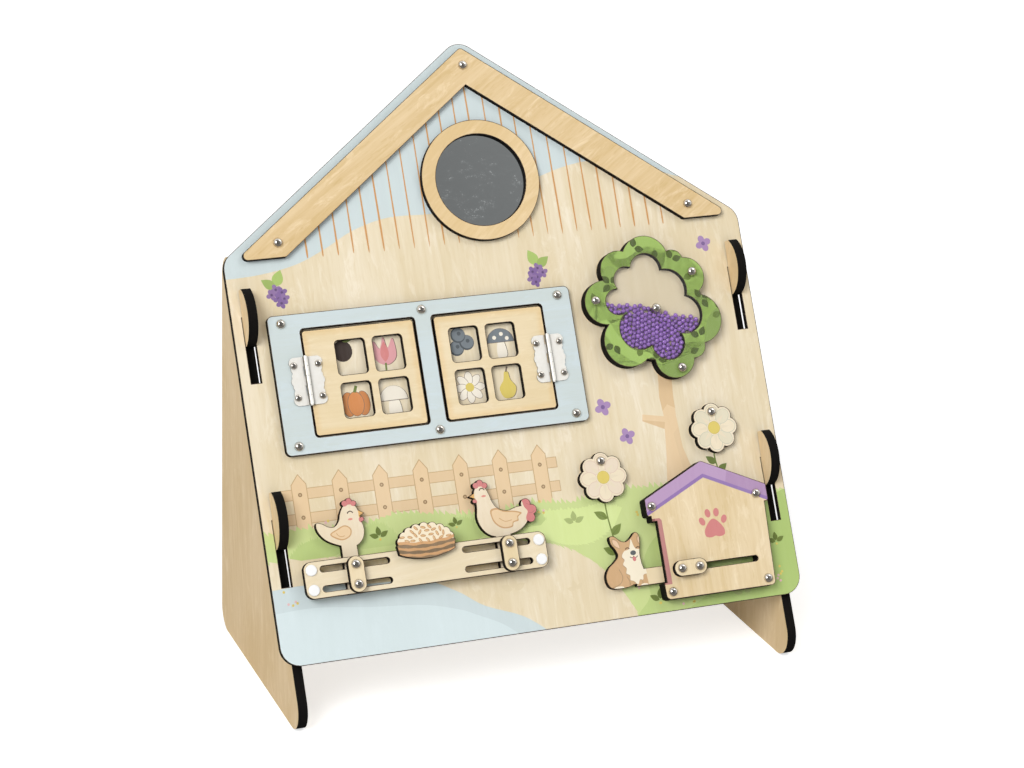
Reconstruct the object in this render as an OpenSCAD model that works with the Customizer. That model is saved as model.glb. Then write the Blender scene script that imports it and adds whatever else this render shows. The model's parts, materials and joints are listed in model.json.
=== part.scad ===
// Wooden busy board: a house-shaped plywood panel that leans back on two hooked-in side
// panels and carries shutters, slides, turning flowers and a bead-filled tree.
// Millimetres, +Z up, front towards -Y. The origin is on the floor, in the middle of the
// board's width and of the side panels' depth.
// Pieces on the panel are drawn flat: x across from its middle, y up along it from its
// lower edge and z out from its front face. on_panel() leans them back.

/* [House panel] */
// Width of the house-shaped panel
board_w = 340; // [334:1:380]
// Height of its straight sides, measured along the panel
eave_h = 247.5; // [243:0.5:280]
// Slope of the roof edges in degrees
roof_pitch = 36.75; // [35:0.25:42]
// Radius of the panel's corners
corner_r = 12; // [6:1:18]
// Thickness of the panel
panel_t = 4; // [3:0.5:6]
// Thickness of each plywood piece applied to the panel
ply_t = 4; // [3:0.5:5]

/* [Stand] */
// Angle of the panel back from upright
lean = 27.3; // [20:0.1:32]
// Height of the panel's lower edge above the floor
foot_h = 42.8; // [35:0.1:55]
// Thickness of the side panels
side_t = 6; // [5:0.5:8]
// From the panel's edge to the outer face of a side panel
side_inset = 6.7; // [5.5:0.1:8]
// Length of a side panel on the floor, between its square corners
side_depth = 191.8; // [170:0.1:230]
// Height of a side panel's top edge
side_h = 261; // [245:1:264]
// Angle of a side panel's rear edge from upright
rear_lean = 7.5; // [3:0.5:9]
// Radius of the front foot
foot_r = 15; // [8:1:18]
// Radius of the rear corner on the floor
heel_r = 13; // [6:1:20]
// Radius of the rear corner at the top
shoulder_r = 17; // [6:1:17]
// Gap between the panel's back and the side panels' front edges
panel_gap = 1.2; // [0.3:0.1:2]

/* [Hooks] */
// Top of the lower slots, along the panel
low_slot_top = 88; // [84:1:110]
// Top of the upper slots, along the panel
high_slot_top = 212; // [206:1:224]
// Length of each slot in the panel
slot_l = 40.7; // [38:0.1:44]
// Height of the neck that passes through a slot
neck_h = 17.5; // [12:0.5:20]
// Height of the hook's finger above the slot
finger_h = 16.3; // [10:0.1:17]
// How far a hook stands out from the panel
hook_reach = 15.6; // [12:0.1:17]
// Radius of the hook's rounded back
hook_r = 18.6; // [18:0.1:24]
// Clearance of a hook in its slot, each way
hook_play = 0.3; // [0.2:0.05:0.5]

/* [Roof trim and mirror] */
// Distance of the trim from the roof edge
trim_inset = 5; // [3:0.5:8]
// Width of the trim's arms
trim_w = 19.5; // [14:0.5:22]
// Height of the trim's lower ends above the eaves
trim_rise = -1.7; // [-3:0.1:4]
// Outer diameter of the mirror ring
ring_d = 77; // [70:0.5:80]
// Inner diameter of the mirror ring
ring_bore = 58.8; // [50:0.1:64]
// Height of the mirror above the eaves
mirror_rise = 35.2; // [33:0.1:38]
// Thickness of the mirror
mirror_t = 1.5; // [1:0.5:2.5]

/* [Shuttered window] */
// From the panel's left edge to the window frame
window_left = 20.6; // [19:0.1:30]
// Middle of the window, along the panel
window_v = 167.4; // [166:0.1:172]
// Gap between the window frame and the widest sweep of the bead tree
window_gap = 7.1; // [5:0.1:20]
// Height of the openings
opening_h = 66.9; // [60:0.1:68]
// Width of the frame's side bars
stile_w = 19.35; // [19:0.05:20]
// Width of the frame's middle bar
mullion_w = 10.5; // [9.5:0.5:11]
// Width of the frame's top and bottom bars
rail_w = 9.5; // [9:0.1:11]
// Gap below each shutter and on its hinge side
shutter_gap = 0.8; // [0.4:0.1:1]
// Gap above each shutter and at its free edge
shutter_play = 1.4; // [0.8:0.1:2]
// Width of a shutter's bar on its hinge side
hinge_bar = 19.4; // [17:0.1:26]
// Height of one pane
pane_h = 21.6; // [14:0.1:22.5]
// Width of the bars between panes
pane_bar = 4.9; // [3.5:0.1:5.5]
// Bar between the panes and the shutter's free edge
pane_edge = 8.4; // [7:0.1:10]

/* [Butterfly hinges] */
// Length of a hinge along its pin
hinge_l = 29.6; // [26:0.1:32]
// Width of one leaf, from the pin
leaf_w = 10.4; // [10:0.1:11]
// Thickness of the leaves
leaf_t = 0.8; // [0.6:0.1:1]
// Diameter of the rolled knuckles
knuckle_d = 3.4; // [3:0.1:3.6]
// Diameter of the hinge pin
hinge_pin_d = 1.6; // [1.4:0.1:1.8]
// How far the left hinge sits above the window's middle, and the right one below it
hinge_stagger = 1.4; // [0:0.1:3]

/* [Hen slide] */
// From the panel's left edge to the slide plate
slide_left = 18.7; // [17:0.1:22]
// Length of the slide plate
slide_l = 153.7; // [150:0.1:158]
// Height of the slide plate
slide_h = 22.3; // [20:0.1:24]
// Middle of the slide plate, along the panel
slide_v = 48.7; // [46:0.1:51]
// Height of the hens above the middle of the slide
hen_h = 46; // [40:0.5:48]
// Distance between the two slots of a pair
slot_pitch = 12; // [11:0.1:12.6]
// Width of the slots in the slide plate and the kennel
guide_w = 3.6; // [3.4:0.1:4]
// Length of a hen's slots between their end centres
guide_l = 39.8; // [34:0.1:40]
// From the plate's end to the end centre of the nearest slot
guide_inset = 12.1; // [12:0.1:13]

/* [Bead tree] */
// From the panel's right edge to the tree's pivot
tree_right = 70; // [68:0.1:74]
// Height of the tree's pivot, along the panel
tree_v = 189.2; // [188.8:0.1:196]
// Thickness of the tree's back plate
tree_back_t = 3; // [2:0.5:4]
// Thickness of the clear cover
cover_t = 1.4; // [1:0.1:2]
// Diameter of a bead
bead_d = 3; // [2.8:0.1:3.4]
// Outer diameter of the sleeve that the tree turns on
sleeve_d = 5; // [4.6:0.1:5.4]

/* [Flowers] */
// From the panel's right edge to the left flower's pivot
left_flower_right = 122.1; // [121:0.1:126]
// Height of the left flower's pivot, along the panel
left_flower_v = 98.1; // [90:0.1:98.2]
// From the panel's right edge to the right flower's pivot
right_flower_right = 43; // [42:0.1:46]
// Height of the right flower's pivot, along the panel
right_flower_v = 120.3; // [118:0.1:120.4]
// Radius of a flower to the tips of its petals
flower_r = 15.8; // [12:0.1:15.9]
// Radius of one petal's end
petal_r = 5.6; // [4.5:0.1:6]
// From the flower's middle to its pivot
flower_offset = 10.2; // [8:0.1:10.3]

/* [Kennel] */
// From the panel's right edge to the kennel's middle
kennel_right = 58; // [57:0.1:60]
// Height of the kennel's lower edge, along the panel
kennel_v = 6.8; // [4:0.1:9]
// Height of the kennel's walls
kennel_wall_h = 52.8; // [52:0.1:56]
// Half the width of the kennel at its floor
kennel_foot = 37; // [36.5:0.1:39]
// Half the width of the kennel under its roof
kennel_top = 38.7; // [38:0.1:39.5]
// Half the width of the kennel's roof
roof_half = 41.3; // [41:0.1:42]
// Height of the roof's ends
roof_end_h = 10.8; // [9:0.1:12]
// Height of the roof's ridge above its ends' tops
ridge_h = 19.6; // [15:0.1:22]
// Height of the doorway in the kennel's left side
doorway_h = 38.6; // [37.5:0.1:41]
// Depth of the recess above the doorway in the front plate
doorway_recess = 3.4; // [1:0.1:5]
// Thickness of the wall at the kennel's closed side
kennel_wall = 9; // [7:0.1:9]
// Height of the dog
dog_h = 34; // [30:0.5:36]

/* [Fasteners] */
// Diameter of the domed screw heads
head_d = 6; // [5:0.1:6.4]
// Height of the domed screw heads
head_h = 2.2; // [1.6:0.1:2.8]
// Diameter of the screw shanks
shank_d = 3; // [2.6:0.1:3.2]
// Clearance of a screw in a hole that it clamps, each way
hole_play = 0.1; // [0.05:0.05:0.2]
// Clearance of a turning piece on its pin, each way
turn_play = 0.08; // [0.05:0.01:0.1]
// Gap between faces that slide or turn past each other
slide_play = 0.5; // [0.3:0.1:0.6]
// Thickness of the washers under the turning pieces
washer_t = 0.6; // [0.4:0.1:1]

/* [Hidden] */

$fn = 48;
eps = 0.01;
// Longer than any piece is thick, for cuts that go right through
through = 60;

panel_colour = "#ead9b4";
edge_ply_colour = "#e3c594";
blue_colour = "#cfdcdc";
green_colour = "#93b35c";
nickel_colour = "#c9ccce";
steel_colour = "#b8bbbd";

// --- Stand geometry, in the plane of a side panel ---
slot_w = side_t + 2 * hook_play;
side_x = board_w / 2 - side_inset - side_t / 2;
slot_tops = [low_slot_top, high_slot_top];
// How far behind the panel's front face the side panels' front edges lie
side_front = panel_t + panel_gap;
// Depth at which the side panel's front edge is at height z, from the panel's lower edge
function front_edge_y(z) =
    (z - foot_h + side_front * sin(lean)) * tan(lean) + side_front * cos(lean);
foot_y = front_edge_y(0);
heel_y = foot_y + side_depth;
// From a square corner of the angle given to where its rounding starts
function tangent(r, angle) = r / tan(angle / 2);
foot_reach = foot_y + tangent(foot_r, 90 - lean) - foot_r;
heel_reach = heel_y - tangent(heel_r, 90 - rear_lean) + heel_r;
// Puts the origin in the middle of the side panels' depth
panel_y = -(foot_reach + heel_reach) / 2;

// --- Panel and roof ---
roof_rise = board_w / 2 * tan(roof_pitch);
ridge_v = eave_h + roof_rise;
// Height of a line parallel to the roof edge and d inside it, over the middle
function roof_line(d) = ridge_v - d / cos(roof_pitch);
trim_v = eave_h + trim_rise;
trim_end_r = 3;
mirror_v = eave_h + mirror_rise;
mirror_play = 0.3;
trim_screw_in = 11.5;
trim_screw_rise = 9.2;
// Where a screw at the end of an arm sits, in the middle of the arm's width
trim_screw_u = (roof_line(trim_inset + trim_w / 2) - trim_v - trim_screw_rise) / tan(roof_pitch);
trim_screw_at = [
    [-trim_screw_u, trim_v + trim_screw_rise],
    [0, roof_line(trim_inset) - trim_screw_in],
    [trim_screw_u, trim_v + trim_screw_rise]
];

// --- The bead tree's crown, about its pivot ---
// Each lobe: distance from the pivot's x and y, and radius
crown_lobes = [
    [-1.5, 31.5, 15.7], [-20, 26.5, 12.8], [-32.3, 7.2, 14.2], [-21.5, -18.7, 16.4],
    [7.5, -32, 13.4], [27.5, -9.2, 16], [24, 18.3, 12.5], [16.5, 29, 7.5], [21.5, -26, 8]
];
// The circle that the whole tree turns in
tree_sweep_r = max([for (lobe = crown_lobes) norm([lobe[0], lobe[1]]) + lobe[2]]);

// --- Window ---
frame_w = board_w - window_left - tree_right - tree_sweep_r - window_gap;
opening_w = (frame_w - 2 * stile_w - mullion_w) / 2;
frame_h = opening_h + 2 * rail_w;
frame_u = -board_w / 2 + window_left + frame_w / 2;
frame_r = 3.5;
opening_r = 2.5;
shutter_w = opening_w - shutter_gap - shutter_play;
shutter_h = opening_h - shutter_gap - shutter_play;
// How far a shutter's middle lies from its opening's, towards the hinge and down
shutter_off = (shutter_play - shutter_gap) / 2;
pane_w = (shutter_w - hinge_bar - pane_bar - pane_edge) / 2;
frame_screw_in = 8.2;
frame_screw_rise = 5.4;
window_screw_at = [
    for (side = [-1, 0, 1], level = [-1, 1])
        [frame_u + side * (frame_w / 2 - frame_screw_in),
         window_v + level * (frame_h / 2 - frame_screw_rise)]
];
// Centres of the openings and of the shutters in them
opening_off = (mullion_w + opening_w) / 2;
// The pins stand over the gap between frame and shutter
hinge_off = mullion_w / 2 + opening_w - shutter_gap / 2;
knuckles = 5;
knuckle_gap = 0.15;
knuckle_l = hinge_l / knuckles;
leaf_screw_in = 7.7;
leaf_screw_rise = 9.9;
leaf_screw_d = 1.8;
leaf_screw_l = 3;
leaf_head_d = 4.6;
leaf_head_h = 1.5;
hinge_w = ply_t + knuckle_d / 2;
frame_leaf_screw_at = [
    for (side = [-1, 1], level = [-1, 1])
        [frame_u + side * (hinge_off + leaf_screw_in),
         window_v - side * hinge_stagger + level * leaf_screw_rise]
];

// --- Hen slide ---
spacer_t = ply_t + 2 * slide_play;
plate_w = spacer_t;
clip_w = plate_w + ply_t + slide_play;
slide_u = -board_w / 2 + slide_left + slide_l / 2;
slide_r = 5;
clip_l = slot_pitch + 10;
clip_d = 10;
stem_w = 10;
cap_d = 7;
cap_t = 1.5;
rivet_in = 4.7;
rivet_head_t = 1.2;
slide_spacer_w = 6.4;
// Middle of the left and right pairs of slots
left_guide_u = slide_u - slide_l / 2 + guide_inset + guide_l / 2;
right_guide_u = slide_u + slide_l / 2 - guide_inset - guide_l / 2;
// The hens are drawn where they stand at rest, off the middle of their slots
left_hen_u = left_guide_u - 0.6;
right_hen_u = right_guide_u + 7;
rivet_at = [
    for (side = [-1, 1], level = [-1, 1])
        [slide_u + side * (slide_l / 2 - rivet_in), slide_v + level * slot_pitch / 2]
];
// The hens' outlines were laid out for this height above the middle of the slide
hen_drawn_h = 46;
hen_k = hen_h / hen_drawn_h;
bowl_w = 37;
bowl_h = 9.5;
heap_h = 12.4;
mound_r = 3;
bowl_v = slide_v + 3.8;

// --- Bead tree, about its pivot ---
tree_at = [board_w / 2 - tree_right, tree_v];
// Each lobe: distance from the pivot's x and y, and radius
chamber_lobes = [
    [-2.2, 25.3, 10.5], [-16, 20, 8.6], [-24.2, 6.8, 8.3], [-13.2, -11.7, 13],
    [4.8, -22.2, 11], [18.3, -5.2, 12.5], [9.8, 11.3, 13.3], [-12, 8, 11]
];
crown_core_r = 33;
chamber_core_r = 17;
tree_screw_at = [[-39.6, 8.8], [28, 21], [10.6, -39.2]];
tree_back_w = washer_t + turn_play;
tree_ring_w = tree_back_w + tree_back_t;
tree_cover_w = tree_ring_w + ply_t;
tree_top_w = tree_cover_w + cover_t;
tree_head_w = tree_top_w + turn_play;
washer_d = 8;
pivot_head_d = max(head_d, sleeve_d + 1.2);
// The beads lie in close-packed rows under a surface that slopes down to the right
bead_pitch = bead_d + 0.1;
bead_row = bead_pitch * sin(60);
bead_top = -2.6;
bead_slope = -16;
bead_rows = ceil(2 * crown_core_r / bead_row);
bead_half_count = ceil(crown_core_r / bead_pitch);

// --- Flowers ---
petals = 8;
flower_at = [
    [board_w / 2 - left_flower_right, left_flower_v],
    [board_w / 2 - right_flower_right, right_flower_v]
];
flower_w = washer_t + turn_play;
flower_head_w = flower_w + ply_t + turn_play;

// --- Kennel ---
kennel_u = board_w / 2 - kennel_right;
kennel_r = 3;
kennel_floor = 10.7;
roof_drop = 0.8;
kennel_screw_in = 4.6;
kennel_screw_at = [
    [kennel_u - kennel_top + 1.4, kennel_v + kennel_wall_h + 6],
    [kennel_u + kennel_top - 5, kennel_v + kennel_wall_h + 5.6],
    [kennel_u - kennel_foot + kennel_screw_in, kennel_v + kennel_screw_in],
    [kennel_u + kennel_foot - kennel_screw_in, kennel_v + kennel_screw_in]
];
doorway_v = kennel_v + kennel_floor;
dog_slot_v = kennel_v + 18;
dog_slot_l = 51.9;
// End centre of the dog's slot on the doorway side, and the dog's clip at rest
dog_slot_u = kennel_u - 25.9;
dog_screw_pitch = 11.8;
dog_drawn_h = 34;
dog_k = dog_h / dog_drawn_h;
dog_clip_u = dog_slot_u + dog_screw_pitch / 2 + 0.3;
arm_end = dog_screw_pitch / 2 + 3.2;

// --- Helpers ---

// Places flat work on the leaning panel, w out from its front face
module on_panel(w = 0) {
    translate([0, panel_y, foot_h])
        rotate([90 - lean, 0, 0])
            translate([0, 0, w])
                children();
}

// A flat piece of thickness t that starts w out from the panel's front face
module sheet(w, t) {
    on_panel(w)
        linear_extrude(t)
            children();
}

function unit(v) = v / norm(v);
// Points where the rounding of corner i starts and ends
function corner_points(pts, radii, i) =
    let (n = len(pts),
         to_last = unit(pts[(i + n - 1) % n] - pts[i]),
         to_next = unit(pts[(i + 1) % n] - pts[i]),
         reach = tangent(radii[i], acos(to_last * to_next)))
    [pts[i] + to_last * reach, pts[i] + to_next * reach];
function corner_centre(pts, radii, i) =
    let (n = len(pts),
         to_last = unit(pts[(i + n - 1) % n] - pts[i]),
         to_next = unit(pts[(i + 1) % n] - pts[i]))
    pts[i] + unit(to_last + to_next) * radii[i] / sin(acos(to_last * to_next) / 2);

// A convex outline with each corner rounded to its own radius
module rounded(pts, radii) {
    polygon([for (i = [0:len(pts) - 1]) each corner_points(pts, radii, i)]);
    for (i = [0:len(pts) - 1])
        translate(corner_centre(pts, radii, i))
            circle(radii[i]);
}

module rounded_rect(w, h, r) {
    rounded([[-w / 2, -h / 2], [w / 2, -h / 2], [w / 2, h / 2], [-w / 2, h / 2]], [r, r, r, r]);
}

// A bar with half-round ends, l between its end centres, along x
module bar(l, d) {
    square([l, d], center = true);
    for (side = [-1, 1])
        translate([side * l / 2, 0])
            circle(d = d);
}

module at_each(places) {
    for (place = places)
        translate(place)
            children();
}

// A domed head that stands on z = 0 and a shank below it
module dome_screw(l, d = head_d, h = head_h, shank = shank_d) {
    dome_r = (d * d / 4 + h * h) / (2 * h);
    intersection() {
        translate([0, 0, h - dome_r])
            sphere(dome_r);
        cylinder(d = d, h = h);
    }
    translate([0, 0, -l])
        cylinder(d = shank, h = l + eps);
}

module clamp_hole() {
    circle(d = shank_d + 2 * hole_play);
}

module leaf_hole() {
    circle(d = leaf_screw_d + 2 * hole_play);
}

module leaf_screw() {
    dome_screw(leaf_screw_l, leaf_head_d, leaf_head_h, leaf_screw_d);
}

// --- House panel and stand ---

module panel_outline() {
    rounded(
        [[-board_w / 2, 0], [board_w / 2, 0], [board_w / 2, eave_h], [0, ridge_v],
         [-board_w / 2, eave_h]],
        [corner_r, corner_r, corner_r, corner_r, corner_r]);
}

module front_panel() {
    color(panel_colour)
    sheet(-panel_t, panel_t)
        difference() {
            panel_outline();
            for (side = [-1, 1], top = slot_tops)
                translate([side * side_x - slot_w / 2, top - slot_l])
                    square([slot_w, slot_l]);
            at_each(concat(trim_screw_at, window_screw_at, kennel_screw_at, rivet_at,
                           flower_at, [tree_at]))
                clamp_hole();
        }
}

// One hook in the side panel's plane, for a slot whose top is at height top.
// Here x runs back from the panel's front face and y runs up along the panel.
module hook(top) {
    neck_bottom = top - hook_play - neck_h;
    back_x = hook_r - hook_reach;
    back_y = neck_bottom + sqrt(hook_r * hook_r - back_x * back_x);
    front_x = -hook_play;
    tip = top + finger_h;
    difference() {
        intersection() {
            translate([back_x, back_y])
                circle(hook_r, $fn = 96);
            translate([-2 * hook_r, neck_bottom])
                square([2 * hook_r + front_x, tip - neck_bottom]);
        }
        // Lead-in that lets the panel drop behind the finger
        polygon([[front_x, top], [front_x + 1, tip + 1], [front_x - 1.4, tip + 1]]);
    }
    translate([front_x - 1, neck_bottom])
        square([side_front - front_x + 9, neck_h]);
}

module side_panel() {
    top_y = front_edge_y(side_h);
    heel_top_y = heel_y - side_h * tan(rear_lean);
    corners = [[foot_y, 0], [heel_y, 0], [heel_top_y, side_h], [top_y, side_h]];
    rotate([90, 0, 90])
        linear_extrude(side_t, center = true)
            translate([panel_y, 0]) {
                // The shoulder's full disc would pass through the narrow top
                intersection() {
                    rounded(corners, [foot_r, heel_r, shoulder_r, 3]);
                    polygon(corners);
                }
                translate([0, foot_h])
                    rotate(-lean)
                        for (top = slot_tops)
                            hook(top);
            }
}

module left_side() {
    color(panel_colour)
    translate([-side_x, 0, 0])
        side_panel();
}

module right_side() {
    color(panel_colour)
    translate([side_x, 0, 0])
        side_panel();
}

// --- Roof trim and mirror ---

// One arm of the trim, from the middle to the right-hand end
module trim_arm() {
    outer = roof_line(trim_inset);
    inner = roof_line(trim_inset + trim_w);
    run = tan(roof_pitch);
    end_u = (outer - trim_v) / run;
    intersection() {
        rounded(
            [[-end_u, trim_v], [end_u, trim_v], [0, outer]],
            [trim_end_r, trim_end_r, trim_end_r]);
        polygon([
            [0, inner], [(inner - trim_v) / run, trim_v], [end_u, trim_v],
            [end_u, outer], [0, outer]
        ]);
    }
}

module roof_trim() {
    color(edge_ply_colour)
    sheet(0, ply_t)
        difference() {
            union() {
                trim_arm();
                mirror([1, 0])
                    trim_arm();
            }
            at_each(trim_screw_at)
                clamp_hole();
        }
}

module trim_screws() {
    color(steel_colour)
    on_panel(ply_t)
        at_each(trim_screw_at)
            dome_screw(ply_t + panel_t + 1.5);
}

module mirror_ring() {
    color(edge_ply_colour)
    sheet(0, ply_t)
        translate([0, mirror_v])
            difference() {
                circle(d = ring_d, $fn = 96);
                circle(d = ring_bore, $fn = 96);
            }
}

module mirror_disc() {
    color("#8d9496")
    sheet(0, mirror_t)
        translate([0, mirror_v])
            circle(d = ring_bore - 2 * mirror_play, $fn = 96);
}

// --- Window frame, shutters and hinges ---

module window_frame() {
    color(blue_colour)
    sheet(0, ply_t)
        difference() {
            translate([frame_u, window_v])
                difference() {
                    rounded_rect(frame_w, frame_h, frame_r);
                    for (side = [-1, 1])
                        translate([side * opening_off, 0])
                            rounded_rect(opening_w, opening_h, opening_r);
                }
            at_each(window_screw_at)
                clamp_hole();
            at_each(frame_leaf_screw_at)
                leaf_hole();
        }
}

module window_screws() {
    color(steel_colour)
    on_panel(ply_t)
        at_each(window_screw_at)
            dome_screw(ply_t + panel_t + 1.5);
}

// A shutter hinged at its right-hand edge, about the middle of its opening
module shutter_outline(hinge_rise) {
    difference() {
        translate([shutter_off, -shutter_off])
            rounded_rect(shutter_w, shutter_h, opening_r - 0.5);
        for (column = [0, 1], row = [-1, 1])
            translate([
                shutter_off - shutter_w / 2 + pane_edge + pane_w / 2 + column * (pane_w + pane_bar),
                row * (pane_h + pane_bar) / 2
            ])
                rounded_rect(pane_w, pane_h, 2.5);
        for (level = [-1, 1])
            translate([hinge_off - opening_off - leaf_screw_in, hinge_rise + level * leaf_screw_rise])
                leaf_hole();
    }
}

module left_shutter() {
    color(panel_colour)
    sheet(0, ply_t)
        translate([frame_u - opening_off, window_v])
            mirror([1, 0])
                shutter_outline(hinge_stagger);
}

module right_shutter() {
    color(panel_colour)
    sheet(0, ply_t)
        translate([frame_u + opening_off, window_v])
            shutter_outline(-hinge_stagger);
}

// Half of a butterfly hinge's plan, to the right of the pin along y, with wavy outer edge
module leaf_outline() {
    difference() {
        union() {
            translate([leaf_w / 2 - 0.4, 0])
                square([leaf_w - 0.8, hinge_l - 5], center = true);
            translate([(leaf_w - 3) / 2, 0])
                square([leaf_w - 3, hinge_l], center = true);
            for (level = [-1, 1])
                translate([leaf_w - 3.4, level * (hinge_l / 2 - 3.4)])
                    circle(3.4);
            translate([leaf_w - 3.4, 0])
                circle(3.4);
        }
        for (level = [-1, 1])
            translate([leaf_w + 0.3, level * hinge_l / 5.6])
                circle(1.7);
    }
}

// One leaf with its rolled knuckles. first is 0 for the frame's leaf and 1 for the shutter's.
module hinge_leaf(first) {
    difference() {
        translate([0, 0, -knuckle_d / 2])
            linear_extrude(leaf_t)
                difference() {
                    leaf_outline();
                    for (level = [-1, 1])
                        translate([leaf_screw_in, level * leaf_screw_rise])
                            leaf_hole();
                }
        // Room for the other leaf's knuckles
        for (i = [1 - first:2:knuckles - 1])
            translate([-eps, -hinge_l / 2 + i * knuckle_l - knuckle_gap / 2, -knuckle_d])
                cube([knuckle_d / 2 + 0.3, knuckle_l + knuckle_gap, 2 * knuckle_d]);
        rotate([90, 0, 0])
            cylinder(d = hinge_pin_d + 2 * turn_play, h = through, center = true);
    }
    for (i = [first:2:knuckles - 1])
        translate([0, -hinge_l / 2 + i * knuckle_l + knuckle_gap / 2, 0])
            rotate([-90, 0, 0])
                difference() {
                    cylinder(d = knuckle_d, h = knuckle_l - knuckle_gap);
                    translate([0, 0, -1])
                        cylinder(d = hinge_pin_d + 2 * turn_play, h = knuckle_l + 2);
                }
}

// Puts hinge work at the pin of the left (-1) or right (1) window opening
module at_hinge(side) {
    on_panel(hinge_w)
        translate([frame_u + side * hinge_off, window_v - side * hinge_stagger])
            children();
}

module left_frame_leaf() {
    color(nickel_colour)
    at_hinge(-1)
        mirror([1, 0, 0])
            hinge_leaf(0);
}

module right_frame_leaf() {
    color(nickel_colour)
    at_hinge(1)
        hinge_leaf(0);
}

module left_shutter_leaf() {
    color(nickel_colour)
    at_hinge(-1)
        hinge_leaf(1);
}

module right_shutter_leaf() {
    color(nickel_colour)
    at_hinge(1)
        mirror([1, 0, 0])
            hinge_leaf(1);
}

module hinge_pin() {
    rotate([90, 0, 0])
        cylinder(d = hinge_pin_d, h = hinge_l + 0.6, center = true);
    for (level = [-1, 1])
        translate([0, level * (hinge_l / 2 + 0.3), 0])
            rotate([90, 0, 0])
                cylinder(d = hinge_pin_d + 0.8, h = 0.5, center = true);
}

module left_hinge_pin() {
    color(steel_colour)
    at_hinge(-1)
        hinge_pin();
}

module right_hinge_pin() {
    color(steel_colour)
    at_hinge(1)
        hinge_pin();
}

// The two screws of a leaf on the given side of a pin
module leaf_screws(side) {
    for (level = [-1, 1])
        translate([side * leaf_screw_in, level * leaf_screw_rise, leaf_t - knuckle_d / 2])
            leaf_screw();
}

module frame_leaf_screws() {
    color(steel_colour)
    for (side = [-1, 1])
        at_hinge(side)
            leaf_screws(side);
}

module left_shutter_screws() {
    color(steel_colour)
    at_hinge(-1)
        leaf_screws(1);
}

module right_shutter_screws() {
    color(steel_colour)
    at_hinge(1)
        leaf_screws(-1);
}

// --- Hen slide ---

module slide_plate() {
    color(panel_colour)
    sheet(plate_w, ply_t)
        difference() {
            translate([slide_u, slide_v])
                rounded_rect(slide_l, slide_h, slide_r);
            for (u = [left_guide_u, right_guide_u], level = [-1, 1])
                translate([u, slide_v + level * slot_pitch / 2])
                    bar(guide_l, guide_w);
            at_each(rivet_at)
                clamp_hole();
        }
}

module slide_spacers() {
    color(panel_colour)
    sheet(0, spacer_t)
        difference() {
            for (side = [-1, 1])
                translate([slide_u + side * (slide_l / 2 - rivet_in), slide_v])
                    rotate(90)
                        bar(slot_pitch, slide_spacer_w);
            at_each(rivet_at)
                clamp_hole();
        }
}

// Flat-capped rivets that clamp the plate and its spacers to the panel
module slide_rivets() {
    color("white")
    on_panel()
        at_each(rivet_at) {
            translate([0, 0, plate_w + ply_t])
                cylinder(d = cap_d, h = cap_t);
            translate([0, 0, -panel_t - rivet_head_t])
                cylinder(d = shank_d, h = plate_w + ply_t + panel_t + rivet_head_t + eps);
            translate([0, 0, -panel_t - rivet_head_t])
                cylinder(d = cap_d, h = rivet_head_t);
        }
}

// A heaped bowl of grain, about the middle of its base
module bowl_outline() {
    mounds = 9;
    intersection() {
        translate([0, bowl_w * 1.15])
            circle(bowl_w * 1.15, $fn = 128);
        polygon([
            [-bowl_w / 2 + 1.5, 0], [bowl_w / 2 - 1.5, 0],
            [bowl_w / 2, bowl_h], [-bowl_w / 2, bowl_h]
        ]);
    }
    // The heap's edge is a row of small mounds
    for (i = [0:mounds - 1])
        let (a = 12 + i * 156 / (mounds - 1))
            translate([(bowl_w / 2 - mound_r) * cos(a), bowl_h + (heap_h - mound_r) * sin(a)])
                circle(mound_r);
    polygon(concat(
        [[-bowl_w / 2, bowl_h], [-bowl_w / 2, bowl_h - 1], [bowl_w / 2, bowl_h - 1],
         [bowl_w / 2, bowl_h]],
        [for (a = [12:12:168]) [(bowl_w / 2 - mound_r) * cos(a), bowl_h + (heap_h - mound_r) * sin(a)]]
    ));
}

module feed_bowl() {
    color("#c9a888")
    sheet(plate_w + ply_t, ply_t)
        translate([slide_u, bowl_v])
            bowl_outline();
}

// The stem that carries a hen on its clip, about the middle between the slots
module stem_outline(top) {
    translate([-stem_w / 2, -clip_l / 2])
        square([stem_w, clip_l / 2 + top]);
}

module stem_holes() {
    for (level = [-1, 1])
        translate([0, level * slot_pitch / 2])
            clamp_hole();
}

// Points of a smooth closed curve through the given points
function curve_point(a, b, c, d, t) =
    (2 * b + (c - a) * t + (2 * a - 5 * b + 4 * c - d) * t * t
     + (3 * b - a - 3 * c + d) * t * t * t) / 2;
function smooth(pts, steps = 5) =
    let (n = len(pts))
    [for (i = [0:n - 1], k = [0:steps - 1])
        curve_point(pts[(i + n - 1) % n], pts[i], pts[(i + 1) % n], pts[(i + 2) % n], k / steps)];

module discs(places) {
    for (place = places)
        translate([place[0], place[1]])
            circle(place[2]);
}

// A plump hen that looks right, about the middle between its slots
module standing_hen_outline() {
    polygon(hen_k * smooth([
        [0.6, 16.8], [6.2, 18.2], [9.9, 22.2], [10.9, 27.6], [9.8, 32.6], [9.2, 37.4],
        [7.4, 41.6], [3.4, 43.8], [-0.4, 42], [-2.8, 38], [-4.4, 33.4], [-7.4, 30.6],
        [-11.2, 31], [-14.6, 33.2], [-18.2, 33.8], [-18.4, 29.6], [-15.8, 25], [-11.5, 21.4],
        [-4, 18.1]
    ]));
    // Beak, wattle and comb
    polygon(hen_k * [[8.8, 34.9], [12.6, 36.4], [8.6, 38.9]]);
    discs(hen_k * [[10.3, 33, 1.5], [0.9, 43.7, 1.9], [3.8, 44.6, 2.1], [6.6, 43.1, 1.8]]);
    stem_outline(22 * hen_k);
}

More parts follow.
